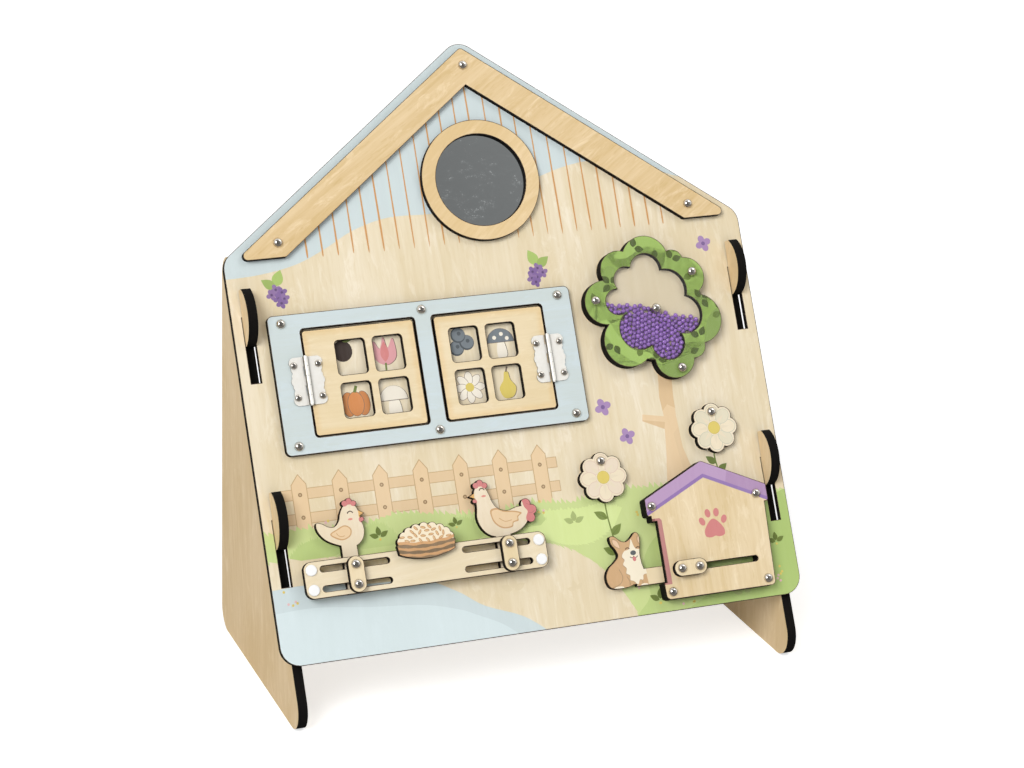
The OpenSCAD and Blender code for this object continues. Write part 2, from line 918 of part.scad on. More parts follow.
// A hen that sits upright and looks left, with a fan of tail feathers
module sitting_hen_outline() {
    polygon(hen_k * smooth([
        [-14.3, 30], [-15, 23.6], [-12.2, 16.4], [-6.4, 12], [2, 11.7], [10, 13.2],
        [15.8, 17], [18.6, 22], [16.6, 27.6], [11.6, 28.4], [5, 26.8], [-0.4, 28.6],
        [-3.6, 33], [-5, 38], [-6.8, 42], [-10.4, 44.2], [-13.8, 42.2], [-14.9, 38.4],
        [-14.2, 34.4]
    ]));
    polygon(hen_k * [[-14.2, 39.9], [-18.4, 37.9], [-14.4, 36.1]]);
    discs(hen_k * [
        [-14.9, 34.8, 1.4], [-12.7, 44.2, 2], [-9.9, 45.4, 2.2], [-7.1, 43.6, 2],
        [17.4, 29.4, 3.2], [20.8, 25.4, 3.2], [19.4, 20.6, 3], [17.6, 25, 2.6]
    ]);
    stem_outline(16 * hen_k);
}

module left_hen() {
    color(panel_colour)
    sheet(slide_play, ply_t)
        translate([left_hen_u, slide_v])
            difference() {
                standing_hen_outline();
                stem_holes();
            }
}

module right_hen() {
    color(panel_colour)
    sheet(slide_play, ply_t)
        translate([right_hen_u, slide_v])
            difference() {
                sitting_hen_outline();
                stem_holes();
            }
}

module hen_clip(u) {
    color(edge_ply_colour)
    sheet(clip_w, ply_t)
        translate([u, slide_v])
            difference() {
                rotate(90)
                    bar(clip_l - clip_d, clip_d);
                stem_holes();
            }
}

module hen_screws(u) {
    color(steel_colour)
    on_panel(clip_w + ply_t)
        for (level = [-1, 1])
            translate([u, slide_v + level * slot_pitch / 2])
                dome_screw(clip_w + ply_t - slide_play - 0.5);
}

module left_hen_clip() {
    hen_clip(left_hen_u);
}

module left_hen_screws() {
    hen_screws(left_hen_u);
}

module right_hen_clip() {
    hen_clip(right_hen_u);
}

module right_hen_screws() {
    hen_screws(right_hen_u);
}

// --- Bead tree ---

module lobed(lobes, core_r) {
    circle(core_r, $fn = 96);
    for (lobe = lobes)
        translate([lobe[0], lobe[1]])
            circle(lobe[2], $fn = 96);
}

module tree_sheet(w, t) {
    sheet(w, t)
        translate(tree_at)
            children();
}

module tree_screw_holes() {
    at_each(tree_screw_at)
        clamp_hole();
}

module sleeve_hole() {
    circle(d = sleeve_d + 2 * turn_play);
}

module tree_back() {
    color(panel_colour)
    tree_sheet(tree_back_w, tree_back_t)
        difference() {
            lobed(crown_lobes, crown_core_r);
            tree_screw_holes();
            sleeve_hole();
        }
}

module tree_ring() {
    color(green_colour)
    tree_sheet(tree_ring_w, ply_t)
        difference() {
            lobed(crown_lobes, crown_core_r);
            lobed(chamber_lobes, chamber_core_r);
            tree_screw_holes();
        }
}

module tree_cover() {
    color("#dfe9ea", 0.35)
    tree_sheet(tree_cover_w, cover_t)
        difference() {
            lobed(crown_lobes, crown_core_r);
            tree_screw_holes();
            sleeve_hole();
        }
}

// True where a bead at p lies inside the chamber, clear of its wall and of the sleeve
function bead_fits(p) =
    norm(p) > (sleeve_d + bead_d) / 2 + 0.3
    && max([for (lobe = chamber_lobes)
            lobe[2] - bead_d / 2 - 0.15 - norm(p - [lobe[0], lobe[1]])]) > 0;
function turned(p, a) = [p[0] * cos(a) - p[1] * sin(a), p[0] * sin(a) + p[1] * cos(a)];
bead_places = [
    for (row = [0:bead_rows - 1], i = [-bead_half_count:bead_half_count])
        let (along = (i + (row % 2) / 2) * bead_pitch,
             p = [0, bead_top] + turned([along, -row * bead_row], bead_slope))
            if (bead_fits(p)) p
];

module tree_beads() {
    color("#8460a6")
    on_panel(tree_ring_w + ply_t / 2)
        translate(tree_at)
            at_each(bead_places)
                sphere(d = bead_d);
}

module tree_screws() {
    color(steel_colour)
    on_panel(tree_top_w)
        translate(tree_at)
            at_each(tree_screw_at)
                dome_screw(tree_top_w - tree_back_w - 0.5);
}

module washer() {
    difference() {
        cylinder(d = washer_d, h = washer_t);
        translate([0, 0, -1])
            cylinder(d = shank_d + 2 * hole_play, h = washer_t + 2);
    }
}

module tree_washer() {
    color("white")
    on_panel()
        translate(tree_at)
            washer();
}

// The tube that the tree turns on, clamped between the washer and the pivot screw's head
module tree_sleeve() {
    color(steel_colour)
    on_panel(washer_t)
        translate(tree_at)
            difference() {
                cylinder(d = sleeve_d, h = tree_head_w - washer_t);
                translate([0, 0, -1])
                    cylinder(d = shank_d + 2 * hole_play, h = tree_head_w + 2);
            }
}

module tree_pivot_screw() {
    color(steel_colour)
    on_panel(tree_head_w)
        translate(tree_at)
            dome_screw(tree_head_w + panel_t + 1.5, pivot_head_d);
}

// --- Flowers ---

module flower_outline() {
    petal_off = flower_r - petal_r;
    circle(petal_off);
    for (i = [0:petals - 1])
        rotate(90 + i * 360 / petals)
            translate([petal_off, 0])
                circle(petal_r);
}

// A flower that hangs from a pin in its top petal
module flower(place) {
    sheet(flower_w, ply_t)
        translate(place)
            difference() {
                translate([0, -flower_offset])
                    flower_outline();
                circle(d = shank_d + 2 * turn_play);
            }
}

module left_flower() {
    color("#efe3cd")
    flower(flower_at[0]);
}

module right_flower() {
    color("#efe3cd")
    flower(flower_at[1]);
}

module flower_washers() {
    color("white")
    on_panel()
        at_each(flower_at)
            washer();
}

module flower_screws() {
    color(steel_colour)
    on_panel(flower_head_w)
        at_each(flower_at)
            dome_screw(flower_head_w + panel_t + 1.5);
}

// --- Kennel and dog ---

// The kennel's front with its roof, about the panel's middle line and lower edge
module kennel_outline() {
    eaves = kennel_v + kennel_wall_h;
    translate([kennel_u, 0]) {
        rounded(
            [[-kennel_foot, kennel_v], [kennel_foot, kennel_v],
             [kennel_top, eaves + 2], [-kennel_top, eaves + 2]],
            [kennel_r, kennel_r, 0.5, 0.5]);
        rounded(
            [[-roof_half + roof_drop, eaves], [roof_half - roof_drop, eaves],
             [roof_half, eaves + 1.2], [roof_half, eaves + roof_end_h],
             [0, eaves + roof_end_h + ridge_h], [-roof_half, eaves + roof_end_h],
             [-roof_half, eaves + 1.2]],
            [0.2, 0.2, 0.2, 1, 2, 1, 0.2]);
    }
}

module kennel_holes() {
    at_each(kennel_screw_at)
        clamp_hole();
}

module kennel_front() {
    color(panel_colour)
    sheet(spacer_t, ply_t)
        difference() {
            kennel_outline();
            kennel_holes();
            // The front plate steps back beside the doorway
            translate([kennel_u - kennel_top - 10, doorway_v])
                square([10 + doorway_recess, doorway_h]);
            translate([dog_slot_u + dog_slot_l / 2, dog_slot_v])
                bar(dog_slot_l, guide_w);
        }
}

// The layer between the panel and the kennel's front, open towards the dog
module kennel_spacer() {
    color(panel_colour)
    sheet(0, spacer_t)
        difference() {
            kennel_outline();
            kennel_holes();
            translate([kennel_u - kennel_top - 10, doorway_v])
                square([10 + kennel_top + kennel_foot - kennel_wall, doorway_h]);
        }
}

module kennel_screws() {
    color(steel_colour)
    on_panel(spacer_t + ply_t)
        at_each(kennel_screw_at)
            dome_screw(spacer_t + ply_t + panel_t + 1.5);
}

// A dog that sits up beside the kennel. Its arm runs behind the kennel's front to the clip.
module dog_outline() {
    floor_y = doorway_v + slide_play - dog_slot_v;
    translate([0, floor_y]) {
        polygon(dog_k * smooth([
            [-48.6, 0.3], [-40, 0.2], [-35.4, 1.4], [-30.6, 1.4], [-27.6, 3.4], [-27.2, 8],
            [-28.4, 14.6], [-28.6, 20.6], [-27.6, 25.8], [-27.4, 31.4], [-29.8, 33.6], [-33.2, 30.6],
            [-36.6, 28.6], [-40.2, 29.4], [-43.8, 32.6], [-47, 32.4], [-46.8, 28.2], [-44.4, 24.2],
            [-43.4, 20.2], [-46.2, 17], [-50.6, 13.6], [-53.2, 8.6], [-52.4, 3]
        ]));
        // Arm to the clip
        translate([-34, 0])
            square([34 + arm_end, 10.5]);
    }
}

module dog_clip_holes() {
    for (side = [-1, 1])
        translate([side * dog_screw_pitch / 2, 0])
            clamp_hole();
}

module dog() {
    color("#d9b48a")
    sheet(slide_play, ply_t)
        translate([dog_clip_u, dog_slot_v])
            difference() {
                dog_outline();
                dog_clip_holes();
            }
}

module dog_clip() {
    color(panel_colour)
    sheet(clip_w, ply_t)
        translate([dog_clip_u, dog_slot_v])
            difference() {
                bar(dog_screw_pitch, clip_d);
                dog_clip_holes();
            }
}

module dog_clip_screws() {
    color(steel_colour)
    on_panel(clip_w + ply_t)
        translate([dog_clip_u, dog_slot_v])
            for (side = [-1, 1])
                translate([side * dog_screw_pitch / 2, 0])
                    dome_screw(clip_w + ply_t - slide_play - 0.5);
}

// --- Nuts behind the panel ---

module rear_nuts() {
    nut_d = 7;
    nut_h = 2.6;
    color(steel_colour)
    on_panel(-panel_t)
        at_each(concat(trim_screw_at, window_screw_at, kennel_screw_at, flower_at, [tree_at]))
            rotate([180, 0, 0])
                difference() {
                    union() {
                        cylinder(d = nut_d, h = 0.8);
                        cylinder(d = nut_d - 1.6, h = nut_h);
                    }
                    translate([0, 0, -1])
                        cylinder(d = shank_d + 2 * hole_play, h = 3);
                }
}

front_panel();
left_side();
right_side();
roof_trim();
trim_screws();
mirror_ring();
mirror_disc();
window_frame();
window_screws();
left_shutter();
right_shutter();
left_frame_leaf();
right_frame_leaf();
left_shutter_leaf();
right_shutter_leaf();
left_hinge_pin();
right_hinge_pin();
frame_leaf_screws();
left_shutter_screws();
right_shutter_screws();
slide_plate();
slide_spacers();
slide_rivets();
feed_bowl();
left_hen();
left_hen_clip();
left_hen_screws();
right_hen();
right_hen_clip();
right_hen_screws();
tree_back();
tree_ring();
tree_cover();
tree_beads();
tree_screws();
tree_washer();
tree_sleeve();
tree_pivot_screw();
left_flower();
right_flower();
flower_washers();
flower_screws();
kennel_front();
kennel_spacer();
kennel_screws();
dog();
dog_clip();
dog_clip_screws();
rear_nuts();
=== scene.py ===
"""Dresses the wooden busy board: birch finishes, printed scene, fittings, beads and stage."""

import json
import math
import random

import bmesh
import bpy
import numpy as np
from bpy.props import FloatProperty, FloatVectorProperty, IntProperty, PointerProperty
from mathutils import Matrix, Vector, geometry


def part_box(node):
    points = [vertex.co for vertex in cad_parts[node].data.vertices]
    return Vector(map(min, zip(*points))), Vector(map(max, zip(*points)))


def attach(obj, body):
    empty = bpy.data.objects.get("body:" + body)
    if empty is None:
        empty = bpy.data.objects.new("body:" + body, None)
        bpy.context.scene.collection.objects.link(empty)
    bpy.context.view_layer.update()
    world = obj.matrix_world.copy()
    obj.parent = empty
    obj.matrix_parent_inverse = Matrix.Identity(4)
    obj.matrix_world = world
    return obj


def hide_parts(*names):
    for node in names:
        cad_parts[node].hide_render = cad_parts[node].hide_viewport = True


bl_info = {
    "name": "Wooden busy board",
    "version": (1, 0, 0),
    "blender": (4, 5, 0),
    "location": "3D View > Sidebar > Busy board",
    "description": "Finishes, printed scene, fittings and stage for a wooden busy board",
    "category": "Object",
}

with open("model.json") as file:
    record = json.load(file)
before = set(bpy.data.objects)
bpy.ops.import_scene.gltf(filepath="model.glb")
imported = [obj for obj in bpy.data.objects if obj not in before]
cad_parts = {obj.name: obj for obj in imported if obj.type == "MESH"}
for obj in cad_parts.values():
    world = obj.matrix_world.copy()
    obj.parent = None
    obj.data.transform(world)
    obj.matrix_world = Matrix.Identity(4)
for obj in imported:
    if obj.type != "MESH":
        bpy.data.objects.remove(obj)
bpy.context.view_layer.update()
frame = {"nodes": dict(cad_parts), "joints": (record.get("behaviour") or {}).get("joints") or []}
NODES = frame["nodes"]
JOINTS = {joint["name"]: joint for joint in frame["joints"]}

MM = 0.001
PANEL_T = 4.0

# The panel's own directions: across it, up along it and out of its face
ACROSS = Vector((1, 0, 0))
UP = Vector(JOINTS["right_shutter_hinge"]["axis"]).normalized()
OUT = Vector(JOINTS["tree_spin"]["axis"]).normalized()
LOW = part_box("front_panel")[0]
FOOT = Vector((0, LOW.y, LOW.z + PANEL_T * MM * OUT.z))


def at(u, v, w=0.0):
    """The point u mm across, v mm up and w mm out from the middle of the panel's lower edge."""
    return FOOT + (ACROSS * u + UP * v + OUT * w) * MM


def flat(point):
    """The reverse of at()."""
    away = (Vector(point) - FOOT) / MM
    return Vector((away.dot(ACROSS), away.dot(UP), away.dot(OUT)))


def srgb(red, green, blue):
    """Linear colour from its 0 to 255 values."""
    def linear(value):
        value /= 255
        return value / 12.92 if value <= 0.04045 else ((value + 0.055) / 1.055) ** 2.4

    return (linear(red), linear(green), linear(blue))


# --- Sizes and colours ---


def colour(label, text, *value):
    return FloatVectorProperty(name=label, description=text, subtype="COLOR", size=3, min=0, max=1,
                               default=srgb(*value))


def number(label, text, value, **kind):
    return FloatProperty(name=label, description=text, default=value, **kind)


def length(label, text, value):
    return number(label, text, value * MM, subtype="DISTANCE", unit="LENGTH", min=0)


def point(label, text, *value):
    return FloatVectorProperty(name=label, description=text, subtype="XYZ", unit="LENGTH", default=value)


class BusyBoardWood(bpy.types.PropertyGroup):
    panel: colour("Panel", "Birch of the house-shaped panel", 236, 221, 190)
    side: colour("Sides", "Birch of the two side panels", 234, 208, 165)
    trim: colour("Trim", "Birch of the roof trim and the mirror's ring", 232, 204, 156)
    shutter: colour("Shutters", "Birch of the shutters and clips", 236, 217, 179)
    window: colour("Window frame", "Paint of the window frame", 205, 216, 216)
    treetop: colour("Treetop", "Print of the tree's ring", 150, 178, 92)
    hen: colour("Hens", "Print of the hens' bodies", 236, 220, 192)
    dog: colour("Dog", "Print of the dog's coat", 209, 172, 130)
    kennel: colour("Kennel", "Birch of the kennel's front", 235, 213, 172)
    bowl: colour("Bowl", "Print of the bowl's bands", 142, 120, 92)
    petal: colour("Petals", "Print of the flowers", 236, 222, 194)
    burn: colour("Cut edges", "Laser-burnt edges of the ply", 11, 8, 6)
    singe: colour("Rims", "Browned rims of the laser-cut faces", 70, 50, 33)
    rim: length("Rim", "Width of the browned rims", 0.32)


class BusyBoardFittings(bpy.types.PropertyGroup):
    head_height: length("Head height", "Height of the domed screw heads", 2.2)
    leaf_head_height: length("Hinge screw height", "Height of the hinge screws' heads", 1.5)
    shank: length("Shank", "Diameter of the screws' shanks", 3.0)
    leaf_shank: length("Hinge screw shank", "Diameter of the hinge screws' shanks", 1.8)
    cap_height: length("Cap height", "Height of the slide's white caps", 1.5)
    steel: colour("Steel", "Polish of the screws", 216, 211, 204)
    nickel: colour("Nickel", "Plate of the hinges", 250, 248, 242)
    cap: colour("Caps", "Plastic of the caps and washers", 250, 250, 249)


class BusyBoardFill(bpy.types.PropertyGroup):
    bead: length("Bead", "Diameter of a bead", 3.0)
    slope: number("Slope", "Slope of the heaped beads", math.radians(-15), subtype="ANGLE")
    level: number("Level", "Height of the heap at the pivot, from the pivot", 0.0, unit="LENGTH")
    step: length("Step", "Drop of the heap behind the pivot", 1.6)
    looseness: number("Looseness", "Spacing of the beads over their diameter", 0.97, min=0.9)
    seed: IntProperty(name="Seed", description="Seed of the beads' lie", default=7)
    purple: colour("Beads", "Colour of the beads", 140, 98, 176)
    mirror: colour("Mirror", "Reflection of the acrylic mirror", 238, 243, 243)


class BusyBoardStage(bpy.types.PropertyGroup):
    daylight: number("Daylight", "Strength of the soft light all round", 0.36)
    key: number("Key", "Power of the soft lamp on the left", 445, unit="POWER")
    fill: number("Fill", "Power of the weak lamp on the right", 45, unit="POWER")
    white: number("White", "Whiteness that the floor shows the camera", 0.6)
    lens: number("Lens", "Focal length of the camera in mm", 96.87)
    eye: point("Eye", "Place of the camera", -0.5575, -1.5320, 0.7197)
    look: point("Look", "Point that the camera looks at", -0.0257, -0.0836, 0.2039)


class BusyBoardPrint(bpy.types.PropertyGroup):
    depth: length("Print depth", "Height of the printed layer over the wood", 0.06)
    sky: colour("Sky", "Pale blue of the gable", 206, 218, 219)
    siding: colour("Siding", "Lines of the boarded gable", 209, 156, 98)
    siding_pitch: length("Siding pitch", "Spacing of the gable's lines", 9.8)
    water: colour("Water", "Pale blue of the pond", 205, 218, 220)
    hedge: colour("Meadow", "Light green of the meadow", 203, 217, 147)
    hill: colour("Hill", "Green of the hill", 176, 199, 120)
    leaf: colour("Leaves", "Dark green of the leaves", 112, 128, 62)
    wood: colour("Fence", "Tan of the fence and trunk", 231, 203, 163)
    lilac: colour("Lilac", "Kennel's roof and the blossoms", 186, 155, 192)
    violet: colour("Violet", "Darker edge of the lilac", 148, 118, 176)
    rose: colour("Rose", "Combs, tails and the paw", 209, 130, 128)
    yellow: colour("Yellow", "Middles of the flowers", 221, 200, 104)


# --- Materials ---


class Num:
    """A number that varies over a surface and takes part in Python arithmetic."""

    def __init__(self, paint, socket):
        self.paint, self.socket = paint, socket

    def __add__(self, other):
        return self.paint.math("ADD", self, other)

    def __sub__(self, other):
        return self.paint.math("SUBTRACT", self, other)

    def __rsub__(self, other):
        return self.paint.math("SUBTRACT", other, self)

    def __mul__(self, other):
        return self.paint.math("MULTIPLY", self, other)

    def __gt__(self, other):
        return self.paint.math("GREATER_THAN", self, other)

    def __abs__(self):
        return self.paint.math("ABSOLUTE", self)

    __radd__ = __add__
    __rmul__ = __mul__


class Nodes:
    """A node tree that is built by calls."""

    def __init__(self, tree):
        self.tree = tree

    def add(self, kind, inputs=None, **settings):
        """A node with its settings, then the values or links of its sockets."""
        node = self.tree.nodes.new(kind)
        for name, value in settings.items():
            setattr(node, name, value)
        for name, value in (inputs or {}).items():
            self.feed(node.inputs[name], value)
        return node

    def feed(self, socket, value):
        value = value.socket if isinstance(value, Num) else value
        value = value.outputs[0] if isinstance(value, bpy.types.Node) else value
        if isinstance(value, bpy.types.NodeSocket):
            self.tree.links.new(value, socket)
        elif socket.type == "RGBA" and len(value) == 3:
            socket.default_value = (*value, 1)
        else:
            socket.default_value = value


class Web(Nodes):
    """The shader nodes of a material or a world."""

    def __init__(self, owner):
        owner.use_nodes = True
        super().__init__(owner.node_tree)
        self.tree.nodes.clear()

    def math(self, operation, *values):
        return Num(self, self.add("ShaderNodeMath", dict(enumerate(values)), operation=operation).outputs[0])

    def between(self, low, high, value):
        """0 below low, 1 above high and smooth in between."""
        node = self.add("ShaderNodeMapRange", {"Value": value, "From Min": low, "From Max": high},
                        interpolation_type="SMOOTHSTEP")
        return Num(self, node.outputs[0])

    def mix(self, factor, a, b, blend="MIX"):
        node = self.add("ShaderNodeMix", {0: factor, 6: a, 7: b}, data_type="RGBA", blend_type=blend)
        return node.outputs[2]

    def along(self, vector, direction):
        node = self.add("ShaderNodeVectorMath", {0: vector, 1: tuple(direction)}, operation="DOT_PRODUCT")
        return Num(self, node.outputs["Value"])

    def vector(self, x, y, z):
        return self.add("ShaderNodeCombineXYZ", {0: x, 1: y, 2: z}).outputs[0]

    def noise(self, vector, scale=1.0, detail=2.0, roughness=0.5, distortion=0.0):
        node = self.add("ShaderNodeTexNoise", {"Vector": vector, "Scale": scale, "Detail": detail,
                                               "Roughness": roughness, "Distortion": distortion})
        return Num(self, node.outputs[0])

    def place(self):
        return self.add("ShaderNodeTexCoord").outputs["Object"]


class Paint(Web):
    """A material on one Principled shader."""

    def __init__(self, name, **constants):
        self.material = bpy.data.materials.new(name)
        super().__init__(self.material)
        self.shader = self.add("ShaderNodeBsdfPrincipled", constants)
        self.add("ShaderNodeOutputMaterial", {"Surface": self.shader.outputs[0]})

    def set(self, **inputs):
        for name, value in inputs.items():
            self.feed(self.shader.inputs[name.replace("_", " ").title()], value)

    def bump(self, height, depth, strength=0.5):
        node = self.add("ShaderNodeBump", {"Height": height, "Distance": depth, "Strength": strength})
        self.set(normal=node.outputs[0])


def grain(paint, turn=90.0, face=(ACROSS, UP, OUT), shift=0.0):
    """How pale (0 to 1) the birch is, and its fibres, with the grain turned from the first direction."""
    position = paint.place()
    first, second, through = (paint.along(position, d) for d in face)
    run, rise = math.cos(math.radians(turn)), math.sin(math.radians(turn))
    long = first * run + second * rise
    cross = second * run - first * rise + shift

    def figure(lengthwise, crosswise, inwards, **kind):
        """Noise with so many waves to the metre in each direction."""
        return paint.noise(paint.vector(long * lengthwise, cross * crosswise, through * inwards), **kind)

    cloud = figure(7, 26, 30, detail=3, roughness=0.6)
    streak = figure(13, 300, 60, detail=3, roughness=0.65)
    fibre = figure(130, 1700, 400, detail=2, roughness=0.6)
    flame = paint.between(0.52, 0.66, figure(30, 95, 60, detail=5, roughness=0.72, distortion=1.1))
    fleck = paint.between(0.6, 0.7, figure(120, 700, 200, detail=1))
    pale = paint.between(0.36, 0.66, cloud * 0.62 + streak * 0.38)
    return pale * 0.6 + flame * 0.4 - fleck * 0.16 + fibre * 0.22 - 0.08, fibre


def shade(tone, factor, tint=(1, 1, 1)):
    """A colour made darker or lighter, and tinted."""
    return tuple(min(channel * factor * t, 1) for channel, t in zip(tone, tint))


def browned(paint, board, position, node):
    """The board's colour with its face browned towards the edges of a rectangular node."""
    brown_to, pale_from, wavering, strength = 0.0012, 0.0052, 0.0022, 0.55
    (u0, u1), (v0, v1), _ = extent(node)
    mid = (at(u0, v0) + at(u1, v1)) / 2
    across, up = paint.along(position, ACROSS), paint.along(position, UP)
    near = paint.math("MINIMUM", (u1 - u0) / 2 * MM - abs(across - mid.x),
                      (v1 - v0) / 2 * MM - abs(up - mid.dot(UP)))
    wander = paint.noise(position, scale=240.0, detail=3)
    glow = 1 - paint.between(brown_to, pale_from, near + wander * wavering - wavering / 2)
    return paint.mix(glow * strength, board, paint.mix(1.0, board, (0.97, 0.85, 0.66), "MULTIPLY"))


def ply(name, tone, turn=90.0, face=(ACROSS, UP, OUT), shift=0.0, depth=0.1, rough=0.46, scorched=None):
    """Clear-coated or painted birch ply with burnt edges where the surface doesn't face along face[2].

    scorched names a rectangular node whose face browns towards its edges.
    """
    wood = bpy.context.scene.busy_board_wood
    paint = Paint(name, Metallic=0.0, **{"Specular IOR Level": 0.2})
    pale, fibre = grain(paint, turn, face, shift)
    board = paint.mix(pale, shade(tone, 1 - depth, (1, 1 - 0.25 * depth, 1 - 0.9 * depth)),
                      shade(tone, 1 + 0.45 * depth, (1, 1 + 0.35 * depth, 1 + 1.4 * depth)))
    coord = paint.add("ShaderNodeTexCoord")
    position = coord.outputs["Object"]
    if scorched:
        board = browned(paint, board, position, scorched)
    facing = abs(paint.along(coord.outputs["Normal"], face[2])) > 0.6
    layer = paint.noise(paint.vector(0.0, 0.0, paint.along(position, face[2]) * 1500), detail=1)
    soot = paint.noise(position, scale=260.0, detail=3)
    worn = paint.between(0.55, 0.85, layer * 0.6 + soot * 0.5)
    edge = paint.mix(worn, tuple(wood.burn), shade(tuple(wood.burn), 3.0, (1, 0.85, 0.7)))
    edge_rough = 0.9
    paint.set(base_color=paint.mix(facing, edge, board), roughness=edge_rough - facing * (edge_rough - rough))
    paint.bump(fibre * 0.6 + pale * 0.4, 0.00015, 0.35)
    return paint.material


def printed(name):
    """Ink on birch. Its colour is the piece's own ink attribute."""
    paint = Paint(name, Metallic=0.0, **{"Specular IOR Level": 0.2})
    pale, fibre = grain(paint)
    ink = paint.add("ShaderNodeAttribute", attribute_name="ink").outputs["Color"]
    paint.set(base_color=paint.mix(pale, paint.mix(1.0, ink, (0.975, 0.97, 0.96), "MULTIPLY"),
                                   paint.mix(0.045, ink, (0.95, 0.93, 0.88))), roughness=0.5)
    paint.bump(fibre, 0.0001, 0.3)
    return paint.material


def metal(name, tone, rough, tint=0.12, plate=1.0):
    """Polished or plated metal with faint tarnish and rub marks. A dull plate is under 1, and on it the faces
    that turn away from the panel's face get a painted dark reflection.
    """
    paint = Paint(name, Metallic=plate)
    position = paint.place()
    cloud = paint.noise(position, scale=420.0, detail=3)
    fine = paint.noise(position, scale=2600.0, detail=2)
    board = paint.mix(cloud, shade(tone, 1 - tint, (1, 0.98, 0.94)), shade(tone, 1 + tint * 0.5))
    if plate < 1:
        # Painted dark reflection: faces that turn away from the panel's face, such as the sides of the
        # hinge's knuckles, are darkened nearly to black
        normal = paint.add("ShaderNodeTexCoord").outputs["Normal"]
        facing = paint.between(0.5, 0.95, abs(paint.along(normal, OUT)))
        board = paint.mix(facing, shade(tone, 0.12, (1, 0.9, 0.75)), board)
    paint.set(base_color=board, roughness=rough + fine * 0.06)
    paint.bump(cloud, 0.00005, 0.25)
    return paint.material


def plastic(name, tone, rough):
    """Moulded plastic with a soft gloss."""
    paint = Paint(name, Metallic=0.0, **{"Coat Roughness": 0.08})
    position = paint.place()
    cloud = paint.noise(position, scale=160.0, detail=3)
    paint.set(base_color=paint.mix(cloud, shade(tone, 0.93), shade(tone, 1.02)),
              roughness=rough + cloud * 0.1, coat_weight=cloud * 0.3 + 0.3)
    paint.bump(paint.noise(position, scale=900.0), 0.00003, 0.2)
    return paint.material


def mirror_finish(name, tone):
    """Acrylic mirror with faint smears and worn specks."""
    paint = Paint(name)
    position = paint.place()
    across, up = paint.along(position, ACROSS), paint.along(position, UP)
    smear = paint.noise(paint.vector(across * 70, up * 120, 0.0), detail=6, roughness=0.75, distortion=1.4)
    speck = paint.noise(position, scale=900.0, detail=2)
    worn = paint.between(0.53, 0.62, smear) * paint.between(0.46, 0.6, speck)
    paint.set(base_color=paint.mix(smear, shade(tone, 0.88), tone), metallic=1 - worn * 0.07,
              roughness=0.04 + worn * 0.14)
    return paint.material


def clear_finish(name):
    """Clear acrylic with a little haze."""
    paint = Paint(name, Metallic=0.0, IOR=1.49)
    haze = paint.noise(paint.place(), scale=90.0, detail=4)
    paint.set(base_color=paint.mix(haze, (0.86, 0.9, 0.92), (0.97, 0.98, 0.99)), roughness=0.03 + haze * 0.04,
              alpha=0.005 + haze * 0.015)
    return paint.material


def bead_finish(name, tone):
    """Glossy beads, each a little lighter or darker by its own tone attribute."""
    paint = Paint(name, Metallic=0.0, **{"Coat Roughness": 0.08})
    own = Num(paint, paint.add("ShaderNodeAttribute", attribute_name="tone").outputs["Fac"])
    cloud = paint.noise(paint.place(), scale=500.0, detail=1)
    paint.set(base_color=paint.mix(own * 0.7 + cloud * 0.3, shade(tone, 0.7), shade(tone, 1.2)),
              roughness=0.3 + cloud * 0.1, coat_weight=0.15 + own * 0.15)
    return paint.material


# --- Node meshes ---


def merged(node):
    """A copy of a node's mesh with its loose triangles joined."""
    mesh = bmesh.new()
    mesh.from_mesh(NODES[node].data)
    bmesh.ops.remove_doubles(mesh, verts=mesh.verts, dist=1e-6)
    mesh.verts.ensure_lookup_table()
    return mesh


def spans(points):
    """Lowest and highest u, v and w of some points."""
    return [(min(p[i] for p in points), max(p[i] for p in points)) for i in range(3)]


def extent(node):
    """Lowest and highest u, v and w of a node."""
    return spans([flat(vertex.co) for vertex in NODES[node].data.vertices])


def middle(node):
    """The u and v of a node's middle."""
    (u0, u1), (v0, v1), _ = extent(node)
    return (u0 + u1) / 2, (v0 + v1) / 2


def islands(node):
    """Extents of each separate solid of a node: ((u0, u1), (v0, v1), (w0, w1))."""
    mesh = merged(node)
    seen, found = set(), []
    for start in mesh.verts:
        if start in seen:
            continue
        seen.add(start)
        todo, points = [start], []
        while todo:
            vertex = todo.pop()
            points.append(flat(vertex.co))
            for edge in vertex.link_edges:
                other = edge.other_vert(vertex)
                if other not in seen:
                    seen.add(other)
                    todo.append(other)
        found.append(spans(points))
    mesh.free()
    return found


def face_loops(node):
    """Outlines of a node's front face as lists of (u, v), and how far out it lies."""
    mesh = merged(node)
    top = max(flat(vertex.co).z for vertex in mesh.verts)
    front = [face for face in mesh.faces
             if face.normal.dot(OUT) > 0.99 and flat(face.calc_center_median()).z > top - 0.01]
    chosen = set(front)
    follow = {}
    for face in front:
        for loop in face.loops:
            if sum(other in chosen for other in loop.edge.link_faces) == 1:
                follow.setdefault(loop.vert, []).append(loop.link_loop_next.vert)
    loops = []
    while follow:
        start = next(iter(follow))
        vertex, ring = start, []
        while vertex in follow:
            ring.append(tuple(flat(vertex.co).xy))
            after = follow[vertex].pop()
            if not follow[vertex]:
                del follow[vertex]
            vertex = after
        loops.append(ring)
    mesh.free()
    return loops, top


# --- Flat drawing, in mm ---


def off(x, y, far, angle):
    """The point that lies so far from x, y at an angle."""
    return x + far * math.cos(math.radians(angle)), y + far * math.sin(math.radians(angle))


def turned(points, x, y, turn):
    """Points turned about 0, 0 and then moved to x, y."""
    c, s = math.cos(math.radians(turn)), math.sin(math.radians(turn))
    return [(x + px * c - py * s, y + px * s + py * c) for px, py in points]


def moved(points, dx, dy):
    return [(x + dx, y + dy) for x, y in points]


def bar(x0, y0, x1, y1):
    return [(x0, y0), (x1, y0), (x1, y1), (x0, y1)]


